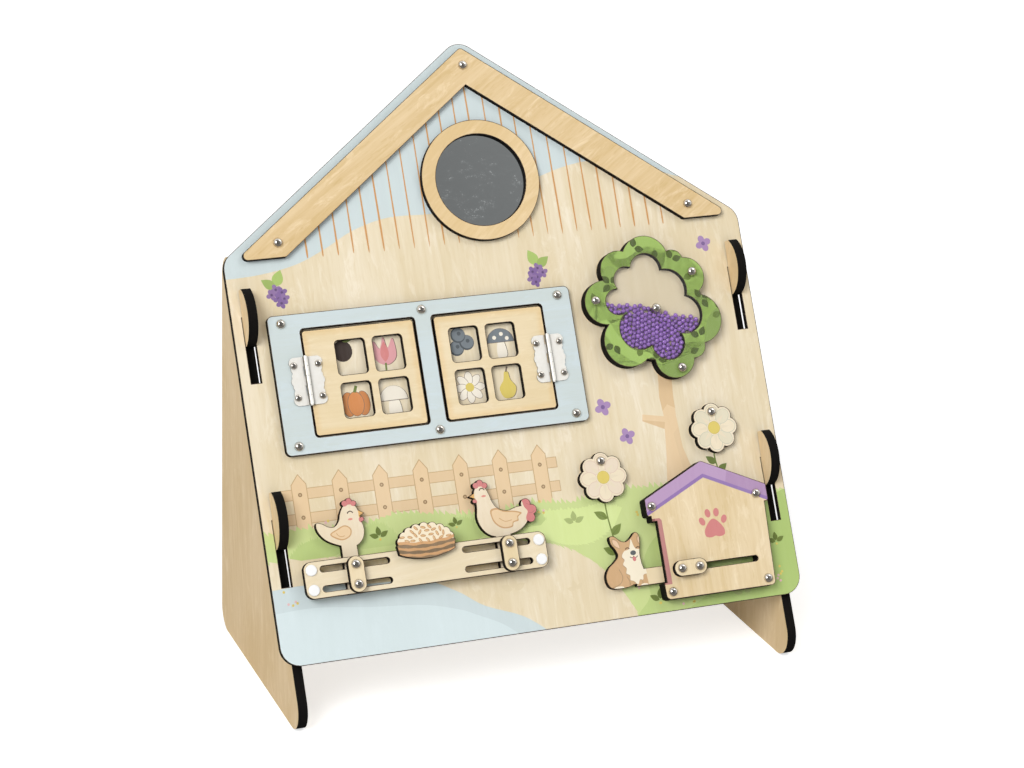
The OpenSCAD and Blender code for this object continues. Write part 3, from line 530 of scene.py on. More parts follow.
def oval(x, y, rx, ry=None, turn=0.0, count=20):
    ry = rx if ry is None else ry
    angles = [2 * math.pi * i / count for i in range(count)]
    return turned([(rx * math.cos(a), ry * math.sin(a)) for a in angles], x, y, turn)


def arc(x, y, r, start, stop, count=10):
    return [off(x, y, r, angle) for angle in np.linspace(start, stop, count)]


def leaf(x, y, long, wide, turn):
    """A pointed leaf that starts at x, y."""
    side = [(long * t, wide / 2 * math.sin(math.pi * t ** 0.8)) for t in np.linspace(0, 1, 9)]
    return turned(side[:-1] + [(px, -py) for px, py in side[:0:-1]], x, y, turn)


def curve_point(a, b, c, d, t):
    """The point at share t of the way from b to c on a smooth curve through four points."""
    return tuple((2 * q + (r - p) * t + (2 * p - 5 * q + 4 * r - s) * t * t
                  + (3 * q - p - 3 * r + s) * t ** 3) / 2 for p, q, r, s in zip(a, b, c, d))


def closed(points, steps=5):
    """A smooth closed curve through the points."""
    n = len(points)
    return [curve_point(points[i - 1], points[i], points[(i + 1) % n], points[(i + 2) % n], k / steps)
            for i in range(n) for k in range(steps)]


def open_curve(points, steps=6):
    """A smooth open curve through the points."""
    ends = [points[0], *points, points[-1]]
    found = [curve_point(*ends[i:i + 4], k / steps) for i in range(len(points) - 1) for k in range(steps)]
    return found + [points[-1]]


def stroke(points, width, end=None):
    """A band along a line, width wide at its start and end wide at its end."""
    end = width if end is None else end
    left, right = [], []
    for i, (x, y) in enumerate(points):
        (x0, y0), (x1, y1) = points[max(i - 1, 0)], points[min(i + 1, len(points) - 1)]
        run = math.hypot(x1 - x0, y1 - y0) or 1
        half = (width + (end - width) * i / (len(points) - 1)) / 2
        across, up = -(y1 - y0) / run * half, (x1 - x0) / run * half
        left.append((x + across, y + up))
        right.append((x - across, y - up))
    return right + left[::-1]


def blob(points, x=0.0, y=0.0, steps=5):
    """A smooth closed shape, drawn about x, y."""
    return moved(closed(points, steps), x, y)


def pen(points, x=0.0, y=0.0, width=0.4):
    """A thin curved line, drawn about x, y."""
    return stroke(open_curve(moved(points, x, y)), width)


def inside(points, outline):
    """Which of the points lie inside an outline."""
    x, y = points[:, 0], points[:, 1]
    result = np.zeros(len(points), bool)
    ring = np.array(outline)
    low, high = ring.min(0), ring.max(0)
    near = np.nonzero((x >= low[0]) & (x <= high[0]) & (y >= low[1]) & (y <= high[1]))[0]
    x, y = x[near], y[near]
    count = np.zeros(len(near), bool)
    for (x0, y0), (x1, y1) in zip(ring, np.roll(ring, -1, 0)):
        if y0 != y1:
            count ^= ((y0 > y) != (y1 > y)) & (x < (x1 - x0) * (y - y0) / (y1 - y0) + x0)
    result[near] = count
    return result


def print_piece(name, node, body, slot, drawing):
    """Prints a drawing, a list of (colour, outline) in painting order, on a node's front face."""
    loops, top = face_loops(node)
    loops = [ring for ring in loops if len(ring) > 2]
    wood = bpy.context.scene.busy_board_wood
    drawing = drawing + [(tuple(wood.singe), rim(ring, wood.rim / MM)) for ring in loops]
    points, edges = [], []
    for ring in loops + [outline for _, outline in drawing]:
        first = len(points)
        points += [Vector(p) for p in ring]
        edges += [(first + i, first + (i + 1) % len(ring)) for i in range(len(ring))]
    flat_points, _, faces, *_ = geometry.delaunay_2d_cdt(points, edges, [], 0, 1e-4)
    corners = np.array([p[:] for p in flat_points])
    faces = np.array([f for f in faces if len(f) == 3])
    centres = corners[faces].mean(1)
    on_wood = np.zeros(len(faces), bool)
    for ring in loops:
        on_wood ^= inside(centres, ring)
    ink = np.zeros((len(faces), 3))
    covered = np.zeros(len(faces), bool)
    for tone, outline in drawing:
        here = inside(centres, outline)
        ink[here] = tone
        covered |= here
    a, b, c = (corners[faces[:, i]] for i in range(3))
    area = (b[:, 0] - a[:, 0]) * (c[:, 1] - a[:, 1]) - (b[:, 1] - a[:, 1]) * (c[:, 0] - a[:, 0])
    keep = np.nonzero(covered & on_wood & (np.abs(area) > 1e-7))[0]
    gap, height = 0.02, bpy.context.scene.busy_board_print.depth / MM
    mesh = bmesh.new()
    layer = mesh.loops.layers.float_color.new("ink")
    verts = {}

    def corner(index, up):
        if (index, up) not in verts:
            verts[index, up] = mesh.verts.new(at(*corners[index], top + (height if up else gap)))
        return verts[index, up]

    def face(corner_list, tone):
        made = mesh.faces.new(corner_list)
        for loop in made.loops:
            loop[layer] = (*tone, 1)

    sides = {}
    for i in keep:
        ring = list(faces[i]) if area[i] > 0 else list(faces[i][::-1])
        face([corner(j, True) for j in ring], ink[i])
        face([corner(j, False) for j in reversed(ring)], ink[i])
        for j, k in zip(ring, ring[1:] + ring[:1]):
            sides[j, k] = ink[i]
    for (j, k), tone in sides.items():
        if (k, j) not in sides:
            face([corner(k, True), corner(j, True), corner(j, False), corner(k, False)], tone)
    return piece(name, mesh, material("Printed ink", printed), body, slot)


# --- Pieces ---


def material(name, make, *values):
    """The named material, made the first time that it is asked for."""
    return bpy.data.materials.get(name) or make(name, *values)


def tree(name, make):
    """The named Geometry Nodes tree, made the first time that it is asked for."""
    return bpy.data.node_groups.get(name) or make(name)


def piece(name, mesh, finish, body, slot):
    """An object from a bmesh, riding on a body."""
    data = bpy.data.meshes.new(name)
    mesh.to_mesh(data)
    mesh.free()
    return settle(name, data, finish, body, slot)


def settle(name, data, finish, body, slot, replaced=()):
    """An object from a mesh, with its material and its body. The slot is not used."""
    thing = bpy.data.objects.new(name, data)
    bpy.context.scene.collection.objects.link(thing)
    data.materials.clear()
    data.materials.append(finish)
    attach(thing, body)
    if replaced:
        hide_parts(*replaced)
    return thing


def finish_node(finish, *nodes):
    """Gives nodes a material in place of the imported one."""
    for node in nodes:
        thing = NODES[node]
        if not thing.material_slots:
            thing.data.materials.append(None)
        for slot in thing.material_slots:
            slot.link = "OBJECT"
            slot.material = finish


class Grow(Nodes):
    """A Geometry Nodes tree with named inputs, each with the kind of its socket."""

    def __init__(self, name, **kinds):
        super().__init__(bpy.data.node_groups.new(name, "GeometryNodeTree"))
        self.tree.interface.new_socket("Geometry", in_out="OUTPUT", socket_type="NodeSocketGeometry")
        for entry, kind in {"Points": "Geometry", **kinds, "Material": "Material"}.items():
            label = entry.replace("_", " ")
            self.tree.interface.new_socket(label, in_out="INPUT", socket_type="NodeSocket" + kind)
        self.source = self.add("NodeGroupInput")

    def feed(self, socket, value):
        """A text stands for the tree's input of that name, unless the socket takes text."""
        if isinstance(value, str) and socket.type != "STRING":
            value = self.source.outputs[value]
        super().feed(socket, value)

    def named(self, name):
        return self.add("GeometryNodeInputNamedAttribute", {"Name": name}, data_type="FLOAT")

    def set_out(self, shape, rotation, **scale):
        """The shape once on each point."""
        return self.add("GeometryNodeInstanceOnPoints", {"Points": "Points", "Instance": shape,
                                                         "Rotation": rotation, **scale})

    def finish(self, geometry_out):
        real = self.add("GeometryNodeRealizeInstances", {0: geometry_out})
        painted = self.add("GeometryNodeSetMaterial", {"Geometry": real, "Material": "Material"})
        self.add("NodeGroupOutput", {0: painted})
        return self.tree


def grown(name, tree, points, body, slot, replaced=(), **values):
    """Runs a tree on points, a list of (place, {attribute: value}), and keeps the plain mesh."""
    data = bpy.data.meshes.new(name + ".points")
    data.from_pydata([place for place, _ in points], [], [])
    for key in points[0][1]:
        layer = data.attributes.new(key, "FLOAT", "POINT")
        layer.data.foreach_set("value", [attributes[key] for _, attributes in points])
    carrier = bpy.data.objects.new(name + ".carrier", data)
    bpy.context.scene.collection.objects.link(carrier)
    modifier = carrier.modifiers.new(tree.name, "NODES")
    modifier.node_group = tree
    for item in tree.interface.items_tree:
        if item.in_out == "INPUT" and item.name in values:
            modifier[item.identifier] = values[item.name]
    bpy.context.view_layer.update()
    evaluated = carrier.evaluated_get(bpy.context.evaluated_depsgraph_get())
    mesh = bpy.data.meshes.new_from_object(evaluated)
    carrier.modifiers.remove(modifier)
    bpy.data.objects.remove(carrier)
    if not mesh.polygons:
        raise RuntimeError(f"{name} came out empty")
    mesh.name = name
    return settle(name, mesh, values["Material"], body, slot, replaced)


def heads_tree(name):
    """Screws or caps: a rounded head that stands on each point, and a shank below it."""
    g = Grow(name, Head_height="Float", Fullness="Float", Shank="Float", Direction="Vector", Segments="Int")
    ball = g.add("GeometryNodeMeshUVSphere", {"Segments": "Segments", "Rings": 16, "Radius": 0.5})
    place = g.add("GeometryNodeInputPosition")
    split = g.add("ShaderNodeSeparateXYZ", {0: place})
    double = g.add("ShaderNodeMath", {0: split.outputs[2], 1: 2.0}, operation="MULTIPLY")
    fuller = g.add("ShaderNodeMath", {0: double, 1: "Fullness"}, operation="MULTIPLY", use_clamp=True)
    join = g.add("ShaderNodeCombineXYZ", {0: split.outputs[0], 1: split.outputs[1], 2: fuller})
    dome = g.add("GeometryNodeSetPosition", {"Geometry": ball, "Position": join})
    above = g.add("FunctionNodeCompare", {0: split.outputs[2], 1: 0.001}, data_type="FLOAT",
                  operation="GREATER_THAN")
    below = g.add("FunctionNodeBooleanMath", {0: above}, operation="NOT")
    round_top = g.add("GeometryNodeSetShadeSmooth", {0: dome, "Selection": above}, domain="FACE")
    head = g.add("GeometryNodeSetShadeSmooth", {0: round_top, "Shade Smooth": False, "Selection": below},
                 domain="FACE")
    rod = g.add("GeometryNodeMeshCylinder", {"Vertices": 16, "Radius": 0.5, "Depth": 1.0})
    rod = g.add("GeometryNodeTransform", {0: rod, "Translation": (0, 0, -0.5)})
    turn = g.add("FunctionNodeAlignRotationToVector", {"Vector": "Direction"}, axis="Z")
    wide = g.named("wide")
    head_size = g.add("ShaderNodeCombineXYZ", {0: wide, 1: wide, 2: "Head height"})
    rod_size = g.add("ShaderNodeCombineXYZ", {0: "Shank", 1: "Shank", 2: g.named("reach")})
    both = g.add("GeometryNodeJoinGeometry")
    g.feed(both.inputs[0], g.set_out(head, turn, Scale=head_size))
    g.feed(both.inputs[0], g.set_out(rod, turn, Scale=rod_size))
    return g.finish(both)


def beads_tree(name):
    """A round bead on each point, each with its own tone."""
    g = Grow(name, Bead="Float", Seed="Int")
    half = g.add("ShaderNodeMath", {0: "Bead", 1: 0.5}, operation="MULTIPLY")
    ball = g.add("GeometryNodeMeshUVSphere", {"Segments": 12, "Rings": 7, "Radius": half})
    smooth = g.add("GeometryNodeSetShadeSmooth", {0: ball}, domain="FACE")
    spin = g.add("FunctionNodeRandomValue", {0: (0.0,) * 3, 1: (6.28,) * 3, "Seed": "Seed"},
                 data_type="FLOAT_VECTOR")
    tone = g.add("FunctionNodeRandomValue", {"Seed": "Seed"}, data_type="FLOAT")
    return g.finish(g.add("GeometryNodeStoreNamedAttribute",
                          {0: g.set_out(smooth, spin), "Name": "tone", "Value": tone.outputs[1]},
                          data_type="FLOAT", domain="INSTANCE"))


def marks_tree(name):
    """A flat printed mark on each point, turned and stretched by the point's own attributes."""
    g = Grow(name, Mark="Object", Direction="Vector")
    mark = g.add("GeometryNodeObjectInfo", {"Object": "Mark"}).outputs["Geometry"]
    tilt = g.add("FunctionNodeAlignRotationToVector", {"Vector": "Direction"}, axis="Z")
    spin = g.add("ShaderNodeCombineXYZ", {2: g.named("turn")})
    turn = g.add("FunctionNodeRotateRotation", {0: tilt, 1: spin}, rotation_space="LOCAL")
    size = g.add("ShaderNodeCombineXYZ", {0: g.named("wide"), 1: g.named("long"), 2: 1.0})
    return g.finish(g.set_out(mark, turn, Scale=size))


def screw_points(nodes, height):
    """Seat, width and shank length of each screw of some nodes."""
    found = []
    for node in nodes:
        for (u0, u1), (v0, v1), (w0, w1) in islands(node):
            seat = w1 - height / MM
            place = at((u0 + u1) / 2, (v0 + v1) / 2, seat)
            found.append((place, {"wide": (u1 - u0) * MM, "reach": (seat - w0) * MM}))
    return found


# --- Operators ---


class BUSYBOARD_OT_plywood(bpy.types.Operator):
    """Finish the bare and painted plywood pieces"""

    bl_idname = "busy_board.plywood"
    bl_label = "Plywood"

    def execute(self, context):
        wood = context.scene.busy_board_wood
        upright = (Vector((0, 1, 0)), Vector((0, 0, 1)), Vector((1, 0, 0)))
        finish_node(ply("Panel birch", wood.panel, 90, depth=0.11), "front_panel")
        finish_node(ply("Side birch", wood.side, 90, upright, depth=0.12), "left_side", "right_side")
        finish_node(ply("Trim birch", wood.trim, 34, shift=0.31, depth=0.18), "roof_trim")
        finish_node(ply("Ring birch", wood.trim, 42, shift=0.87, depth=0.12), "mirror_ring")
        slide = ply("Slide birch", wood.panel, 8, shift=0.55, depth=0.08)
        clips = ply("Clip birch", wood.shutter, 90, shift=0.13)
        kennel = ply("Kennel birch", wood.kennel, 90, shift=0.4, depth=0.15)
        finish_node(slide, "slide_plate", "slide_spacers")
        finish_node(clips, "left_hen_clip", "right_hen_clip", "dog_clip")
        finish_node(kennel, "kennel_front", "kennel_spacer")
        finish_node(ply("Window paint", wood.window, 0, depth=0.04, rough=0.5), "window_frame")
        for side, shift in (("left", 0.7), ("right", 1.1)):
            shutter = side + "_shutter"
            finish_node(ply(f"{side.title()} shutter birch", wood.shutter, 0, shift=shift, depth=0.09,
                            scorched=shutter), shutter)
        # The tree's back plate is the panel's birch darkened to 0.82, as painted shade inside the chamber
        finish_node(ply("Tree back birch", shade(wood.panel, 0.82), 90, depth=0.05), "tree_back")
        finish_node(ply("Treetop print", wood.treetop, 90, depth=0.03), "tree_ring")
        finish_node(ply("Hen print", wood.hen, 90, depth=0.05), "left_hen", "right_hen")
        finish_node(ply("Dog print", wood.dog, 90, depth=0.06), "dog")
        finish_node(ply("Bowl print", wood.bowl, 0, depth=0.06), "feed_bowl")
        finish_node(ply("Petal print", wood.petal, 90, depth=0.05), "left_flower", "right_flower")
        return {"FINISHED"}


class BUSYBOARD_OT_clear_parts(bpy.types.Operator):
    """Finish the mirror and the tree's clear cover"""

    bl_idname = "busy_board.clear_parts"
    bl_label = "Mirror and cover"

    def execute(self, context):
        finish_node(mirror_finish("Acrylic mirror", context.scene.busy_board_fill.mirror), "mirror_disc")
        finish_node(clear_finish("Clear acrylic"), "tree_cover")
        return {"FINISHED"}


def steel():
    fittings = bpy.context.scene.busy_board_fittings
    return material("Polished steel", metal, fittings.steel, 0.1)


def white_caps():
    return material("White caps", plastic, bpy.context.scene.busy_board_fittings.cap, 0.35)


class BUSYBOARD_OT_hinges(bpy.types.Operator):
    """Finish the hinges, nuts, sleeve and washers"""

    bl_idname = "busy_board.hinges"
    bl_label = "Hinges and small metal"

    def execute(self, context):
        fittings = context.scene.busy_board_fittings
        nickel = metal("Bright nickel", fittings.nickel, 0.36, 0.06, 0.3)
        finish_node(nickel, "left_frame_leaf", "right_frame_leaf", "left_shutter_leaf", "right_shutter_leaf",
                    "left_hinge_pin", "right_hinge_pin")
        finish_node(steel(), "rear_nuts", "tree_sleeve")
        finish_node(white_caps(), "tree_washer", "flower_washers")
        return {"FINISHED"}


class BUSYBOARD_OT_fittings(bpy.types.Operator):
    """Make the domed screws and the slide's flat caps"""

    bl_idname = "busy_board.fittings"
    bl_label = "Screws and caps"

    def execute(self, context):
        fittings = context.scene.busy_board_fittings
        heads = tree("Fitting heads", heads_tree)
        # Height, fullness of the dome, shank, segments, finish and slot
        screw = (fittings.head_height, 1.12, fittings.shank, 32, steel(), "nickel")
        small = (fittings.leaf_head_height, 1.2, fittings.leaf_shank, 24, steel(), "nickel")
        cap = (fittings.cap_height, 2.4, fittings.shank, 48, white_caps(), "white_cap")
        for name, body, kind, nodes in (
            ("board_screws", "board", screw, ("trim_screws", "window_screws", "kennel_screws",
                                              "flower_screws", "tree_pivot_screw")),
            ("left_hen_heads", "left_hen", screw, ("left_hen_screws",)),
            ("right_hen_heads", "right_hen", screw, ("right_hen_screws",)),
            ("tree_heads", "tree", screw, ("tree_screws",)),
            ("dog_heads", "dog", screw, ("dog_clip_screws",)),
            ("frame_leaf_heads", "board", small, ("frame_leaf_screws",)),
            ("left_shutter_heads", "left_shutter", small, ("left_shutter_screws",)),
            ("right_shutter_heads", "right_shutter", small, ("right_shutter_screws",)),
            ("slide_caps", "board", cap, ("slide_rivets",)),
        ):
            height, fullness, shank, segments, finish, slot = kind
            grown(name, heads, screw_points(nodes, height), body, slot, nodes,
                  **{"Head height": height, "Fullness": fullness, "Shank": shank, "Direction": OUT,
                     "Segments": segments, "Material": finish})
        return {"FINISHED"}


def off_wall(points, ring):
    """Distance of points inside a chamber's wall, and the direction away from it."""
    start = np.array(ring)
    run = np.roll(start, -1, 0) - start
    away = points[:, None] - start[None]
    share = np.clip((away * run).sum(2) / (run * run).sum(1), 0, 1)
    gap = away - share[..., None] * run
    far = np.hypot(gap[..., 0], gap[..., 1])
    rows, near = np.arange(len(points)), far.argmin(1)
    sign = np.where(inside(points, ring), 1.0, -1.0)
    far = far[rows, near]
    return far * sign, gap[rows, near] * (sign / np.maximum(far, 1e-9))[:, None]


def bead_grid(ring, fill, rng):
    """Close-packed bead places in the chamber below the heap's surface, a little shaken."""
    row_gap, turn, shake, wall_share = 0.866, 0.35, 0.55, 0.36
    size = fill.bead / MM
    pitch = size * fill.looseness
    reach = 1.5 * (np.abs(np.array(ring)).max() + pitch)
    rows = np.arange(-reach, reach, pitch * row_gap)
    spots = np.array([(x + (row % 2) * pitch / 2, y) for row, y in enumerate(rows)
                      for x in np.arange(-reach, reach, pitch)])
    c, s = math.cos(turn), math.sin(turn)
    spots = spots @ np.array(((c, s), (-s, c))) + rng.uniform(-shake, shake, spots.shape)
    x, y = spots.T
    surface = fill.level / MM + math.tan(fill.slope) * x - np.clip(x + 1, 0, 2) / 2 * fill.step / MM
    spots = spots[inside(spots, ring) & (y < surface)]
    return spots[off_wall(spots, ring)[0] > size * wall_share]


def bead_lie(ring, fill):
    """Where loose beads rest in the chamber outline ring, as (x, y) about the pivot and depths, in mm."""
    rounds, falling, drop, give = 220, 120, 0.012, 0.45
    wall_gap, pivot_radius, room, apart = 0.03, 2.6, 0.48, 99
    rng = np.random.default_rng(fill.seed)
    size = fill.bead / MM
    spots = bead_grid(ring, fill, rng)
    depth = rng.uniform(-0.4, 0.4, len(spots))
    for step in range(rounds):
        gap = spots[:, None] - spots[None]
        lift = depth[:, None] - depth[None]
        far = np.sqrt((gap ** 2).sum(2) + lift ** 2) + np.eye(len(spots)) * apart
        push = np.clip(size - far, 0, None) * give / far
        spots = spots + (gap * push[..., None]).sum(1)
        depth = np.clip(depth + (lift * push).sum(1), -room, room)
        if step < falling:
            spots[:, 1] -= drop
        far, away = off_wall(spots, ring)
        spots += away * np.clip(size / 2 + wall_gap - far, 0, None)[:, None]
        pin = np.hypot(*spots.T)
        spots += spots * (np.clip(size / 2 + pivot_radius - pin, 0, None) / np.maximum(pin, 1e-6))[:, None]
    return spots, depth


class BUSYBOARD_OT_beads(bpy.types.Operator):
    """Fill the tree's chamber with loose beads"""

    bl_idname = "busy_board.beads"
    bl_label = "Beads"

    def execute(self, context):
        fill = context.scene.busy_board_fill
        pivot = flat(JOINTS["tree_spin"]["pos_m"])
        # The chamber's wall is the second widest loop, after the treetop's own outline
        rings = sorted(face_loops("tree_ring")[0], key=lambda ring: np.ptp(np.array(ring), 0).sum())
        spots, depth = bead_lie(moved(rings[-2], -pivot.x, -pivot.y), fill)
        mid = sum(extent("tree_ring")[2]) / 2
        points = [(at(x + pivot.x, y + pivot.y, mid + d), {}) for (x, y), d in zip(spots, depth)]
        beads = material("Purple beads", bead_finish, fill.purple)
        grown("loose_beads", tree("Bead fill", beads_tree), points, "tree", "beads", ("tree_beads",),
              **{"Bead": fill.bead, "Seed": fill.seed, "Material": beads})
        return {"FINISHED"}


def rim(ring, width):
    """A band of the given width just inside an outline that has the wood on its left."""
    here = np.array(ring)
    run = here - np.roll(here, 1, 0)
    run = run / np.maximum(np.hypot(*run.T), 1e-9)[:, None]
    after = np.roll(run, -1, 0)
    lean = run + after
    inward = np.stack((-lean[:, 1], lean[:, 0]), 1) / np.maximum(1 + (run * after).sum(1), 0.4)[:, None]
    inner = [tuple(point) for point in here + inward * width]
    return [*ring, ring[0], inner[0], *inner[:0:-1], inner[0]]


def ragged(points, blade, rng, steps=8):
    """An open curve with short blades of grass standing along it."""
    line = []
    for x, y in open_curve(points, steps):
        line.append((x, y))
        line.append((x + rng.uniform(0.1, 1.5), y + rng.uniform(0.25, 1) * blade))
    return line


def toned(a, b, share):
    """The colour at a share of the way from a to b."""
    return tuple(p + (q - p) * share for p, q in zip(a, b))


def fence(wood):
    """Pointed pickets in front of two rails, each on its own outline."""
    line, back = shade(wood, 0.7, (1, 0.9, 0.78)), shade(wood, 0.95)
    rails, nails = (83.8, 98.6), (87.4, 101.2)
    pickets, first, pitch = 7, -144, 25.6
    d = []
    for v in rails:
        d += [(line, bar(-158, v - 0.4, 20.9, v + 6.4)), (back, bar(-158, v, 20.5, v + 6))]
    for i in range(pickets):
        u = first + i * pitch
        for tone, edge in ((line, 0.5), (wood, 0)):
            shoulder = 107.4 + 0.4 * edge
            d.append((tone, [(u - 4.5 - edge, 66), (u + 4.3 + edge, 66), (u + 4.3 + edge, shoulder),
                             (u + 0.2, 113.2 + 1.6 * edge), (u - 4.5 - edge, shoulder)]))
        for v in nails:
            d += [(shade(wood, 0.42, (1, 0.86, 0.72)), oval(u, v, 1.3, count=12)),
                  (shade(wood, 0.72), oval(u, v, 0.6, count=8))]
    return d


def pond(water):
    """Pond in the lower left corner with a paler middle."""
    d = []
    for inset, tone in ((0, water), (14, shade(water, 1.1))):
        bank = [(-176, 46 - inset), (-146, 47 - inset), (-112, 43 - inset), (-78, 41 - inset * 1.1),
                (-56, 31 - inset * 0.8), (-40 - inset * 0.5, 20 - inset * 0.3),
                (-16 - inset, 10 - inset * 0.2), (2 - inset * 1.3, -4)]
        d.append((tone, open_curve(bank) + [(-176, -4)]))
    return d


def meadow(hedge, hill, rng):
    """Meadow behind and beside a bare path, with darker patches of grass."""
    top = ragged([(-176, 78), (-146, 80), (-116, 77), (-86, 82), (-56, 78), (-28, 75), (0, 78), (26, 75),
                  (52, 79), (82, 78), (112, 75), (142, 69), (176, 65)], 4.2, rng)
    path = ragged([(60, -6), (55, 8), (47, 22), (38, 34), (26, 44), (10, 52), (-16, 58), (-48, 62), (-80, 60),
                   (-116, 61), (-148, 65), (-176, 63)], -2.4, rng, 6)
    d = [(hedge, top + [(176, -6)] + path),
         (shade(hedge, 1.13), ragged([(-8, 73), (10, 72), (30, 71), (46, 72), (58, 68)], 2, rng)
          + ragged([(52, 58), (36, 50), (20, 50), (4, 56), (-8, 60)], -2, rng))]
    for u, v, wide, tall, share in ((-156, 64, 34, 9, 0.6), (-116, 66, 30, 12, 0.35), (-62, 62, 30, 13, 0.5),
                                    (-12, 66, 20, 9, 0.4)):
        hump = [(u + wide * t, v + tall * math.sin(math.pi * t) ** 0.7) for t in np.linspace(0, 1, 6)]
        d.append((toned(hedge, hill, share), ragged(hump, 3, rng, 5)
                  + [(u + wide * 0.8, v - 2), (u + wide * 0.2, v - 2)]))
    return d + [(toned(hedge, hill, 0.5), blob([(62, -8), (68, 12), (66, 30), (76, 46), (98, 58), (124, 65),
                                                (150, 62), (180, 58), (180, -8)])),
                (hill, blob([(84, -8), (104, 6), (128, 20), (140, 40), (150, 58), (180, 62), (180, -8)]))]


def trunk(wood):
    """Tree trunk with a bough, behind the turning treetop."""
    shaded = shade(wood, 0.91, (1, 0.96, 0.9))
    return [(wood, [(97.4, 150), (95.6, 134), (96.5, 122.4), (94.6, 102), (91.2, 78), (112, 78), (105.8, 101),
                    (104.8, 121), (105, 134), (106.6, 150)]),
            (shaded, [(97.4, 150), (95.6, 134), (96.3, 125), (100, 129), (105, 126), (105, 134),
                      (106.6, 150)]),
            (shade(wood, 0.96), [(101, 110), (104.4, 78), (112, 78), (105.8, 101), (105.1, 114)]),
            (wood, [(96.8, 121.6), (82.4, 124.4), (81.6, 120.4), (95.6, 114)]),
            (shade(wood, 0.9, (1, 0.96, 0.9)), [(96.6, 118), (82, 120.8), (81.6, 120.2), (95.6, 113.6)])]


def stems(green):
    """Stems of the two turning flowers."""
    stem = shade(green, 1.12)
    d = [(stem, stroke(open_curve([(47.6, 86), (48.2, 64), (50.4, 42), (47, 22)]), 0.8, 1.1))]
    for u, v, turn in ((47.9, 62.6, 148), (49.2, 52, 42), (50.4, 40, 150), (49.6, 34, 30)):
        d += [(shade(stem, 1.1), leaf(u, v, 9.6, 5, turn)),
              (shade(stem, 0.8), stroke([(u, v), off(u, v, 8, turn)], 0.45, 0.15))]
    d.append((stem, stroke(open_curve([(127, 108), (126, 92), (128, 80)]), 0.8, 1.0)))
    for u, v, turn in ((126.2, 88, 140), (127, 82.6, 36)):
        d.append((shade(stem, 0.85), leaf(u, v, 8, 4.4, turn)))
    return d


def house_scene(ink):
    """The panel's printed scene, in painting order."""
    sky, water, hedge, hill, wood = (tuple(c) for c in (ink.sky, ink.water, ink.hedge, ink.hill, ink.wood))
    clouds = open_curve([(-176, 236), (-150, 237), (-126, 241), (-106, 249), (-86, 259), (-62, 265),
                         (-30, 265), (4, 271), (36, 281), (62, 288), (90, 290), (112, 286), (128, 276),
                         (176, 262)])
    return ([(sky, clouds + [(176, 400), (-176, 400)])] + pond(water) + fence(wood)
            + meadow(hedge, hill, random.Random(5)) + trunk(wood) + stems(tuple(ink.leaf)))


def lined(line, tone, shape, dx=0.4, dy=0.0):
    """A shape with a dark line along one side."""
    return [(line, moved(shape, dx, dy)), (tone, shape)]


def mushroom(stalk, x, y, radius, edge, line, cream, cap):
    """A mushroom whose cap's foot is in the middle at x, y."""
    return lined(line, cream, stalk) + [(line, arc(x, y - edge + 0.1, radius + edge, 0, 180, 16)),
                                        (cap, arc(x, y, radius, 0, 180, 16))]


def left_panes(x, y, line, cream, rose, green):
    """Plum, tulip, pumpkin and mushroom about the shutter's middle."""
    orange = srgb(214, 140, 82)
    tulip = [(12, 8), (18, 7), (23, 12), (22, 23), (18, 17), (16, 24), (13, 17), (9.5, 22), (8.6, 13)]
    d = [(srgb(56, 42, 36), oval(x - 10.5, y + 18, 6.2, 6.6)), (green, leaf(x - 10, y + 24, 9, 4, 20)),
         *lined(line, srgb(222, 160, 164), blob(tulip, x, y), 0.45, -0.2),
         (shade(rose, 1.05), leaf(x + 15.6, y + 8.6, 13, 5.4, 88)),
         (green, stroke([(x + 15.6, y + 8), (x + 15, y - 2)], 1.2))]
    for shift, wide, light in ((-4.6, 4.2, 0.9), (4.6, 4.2, 0.9), (0, 5, 1.0)):
        d += [(line, oval(x - 7 + shift, y - 15, wide + 0.3, 7.7)),
              (shade(orange, light), oval(x - 7 + shift, y - 15, wide, 7.4))]
    d.append((green, stroke([(x - 7, y - 8), (x - 5.4, y - 4)], 1.8)))
    stalk = blob([(13.6, -26), (21, -26), (20, -15), (14.4, -15)], x, y)
    return d + mushroom(stalk, x + 17.2, y - 15.2, 8.8, 0.5, line, cream, shade(cream, 0.96))


def right_panes(x, y, line, cream, yellow):
    """Blueberries, toadstool, daisy and pear about the shutter's middle."""
    slate = srgb(120, 128, 134)
    d = []
    for dx, dy in ((-22, 12), (-15, 15), (-20, 20)):
        d += [(shade(slate, 0.45), oval(x + dx, y + dy, 4.8)), (slate, oval(x + dx + 0.4, y + dy + 0.4, 4.2)),
              (shade(slate, 0.5), oval(x + dx + 0.8, y + dy + 1, 1.3, count=8))]
    stalk = blob([(4, 4), (10, 4), (9, 13), (5, 13)], x, y)
    d += mushroom(stalk, x + 7, y + 13, 8.6, 0.4, line, cream, slate)
    d += [(cream, oval(x + dx, y + dy, 1.3, count=10)) for dx, dy in ((3.2, 16), (8, 18), (11.4, 15))]
    for turn in range(0, 360, 45):
        px, py = off(x - 17.5, y - 13, 5.6, turn)
        d += [(shade(line, 1.5), oval(px, py, 4.5, 2.7, turn)), (cream, oval(px, py, 4.2, 2.4, turn))]
    pear = [(4, -22), (10, -21.5), (12.4, -16), (9.4, -11), (8.4, -6), (6, -6), (4.8, -11), (1.6, -16)]
    return d + [(yellow, oval(x - 17.5, y - 13, 2.8)), *lined(line, yellow, blob(pear, x, y), 0.4, -0.2),
                (line, stroke([(x + 7.2, y - 6), (x + 8.4, y - 2.6)], 1))]


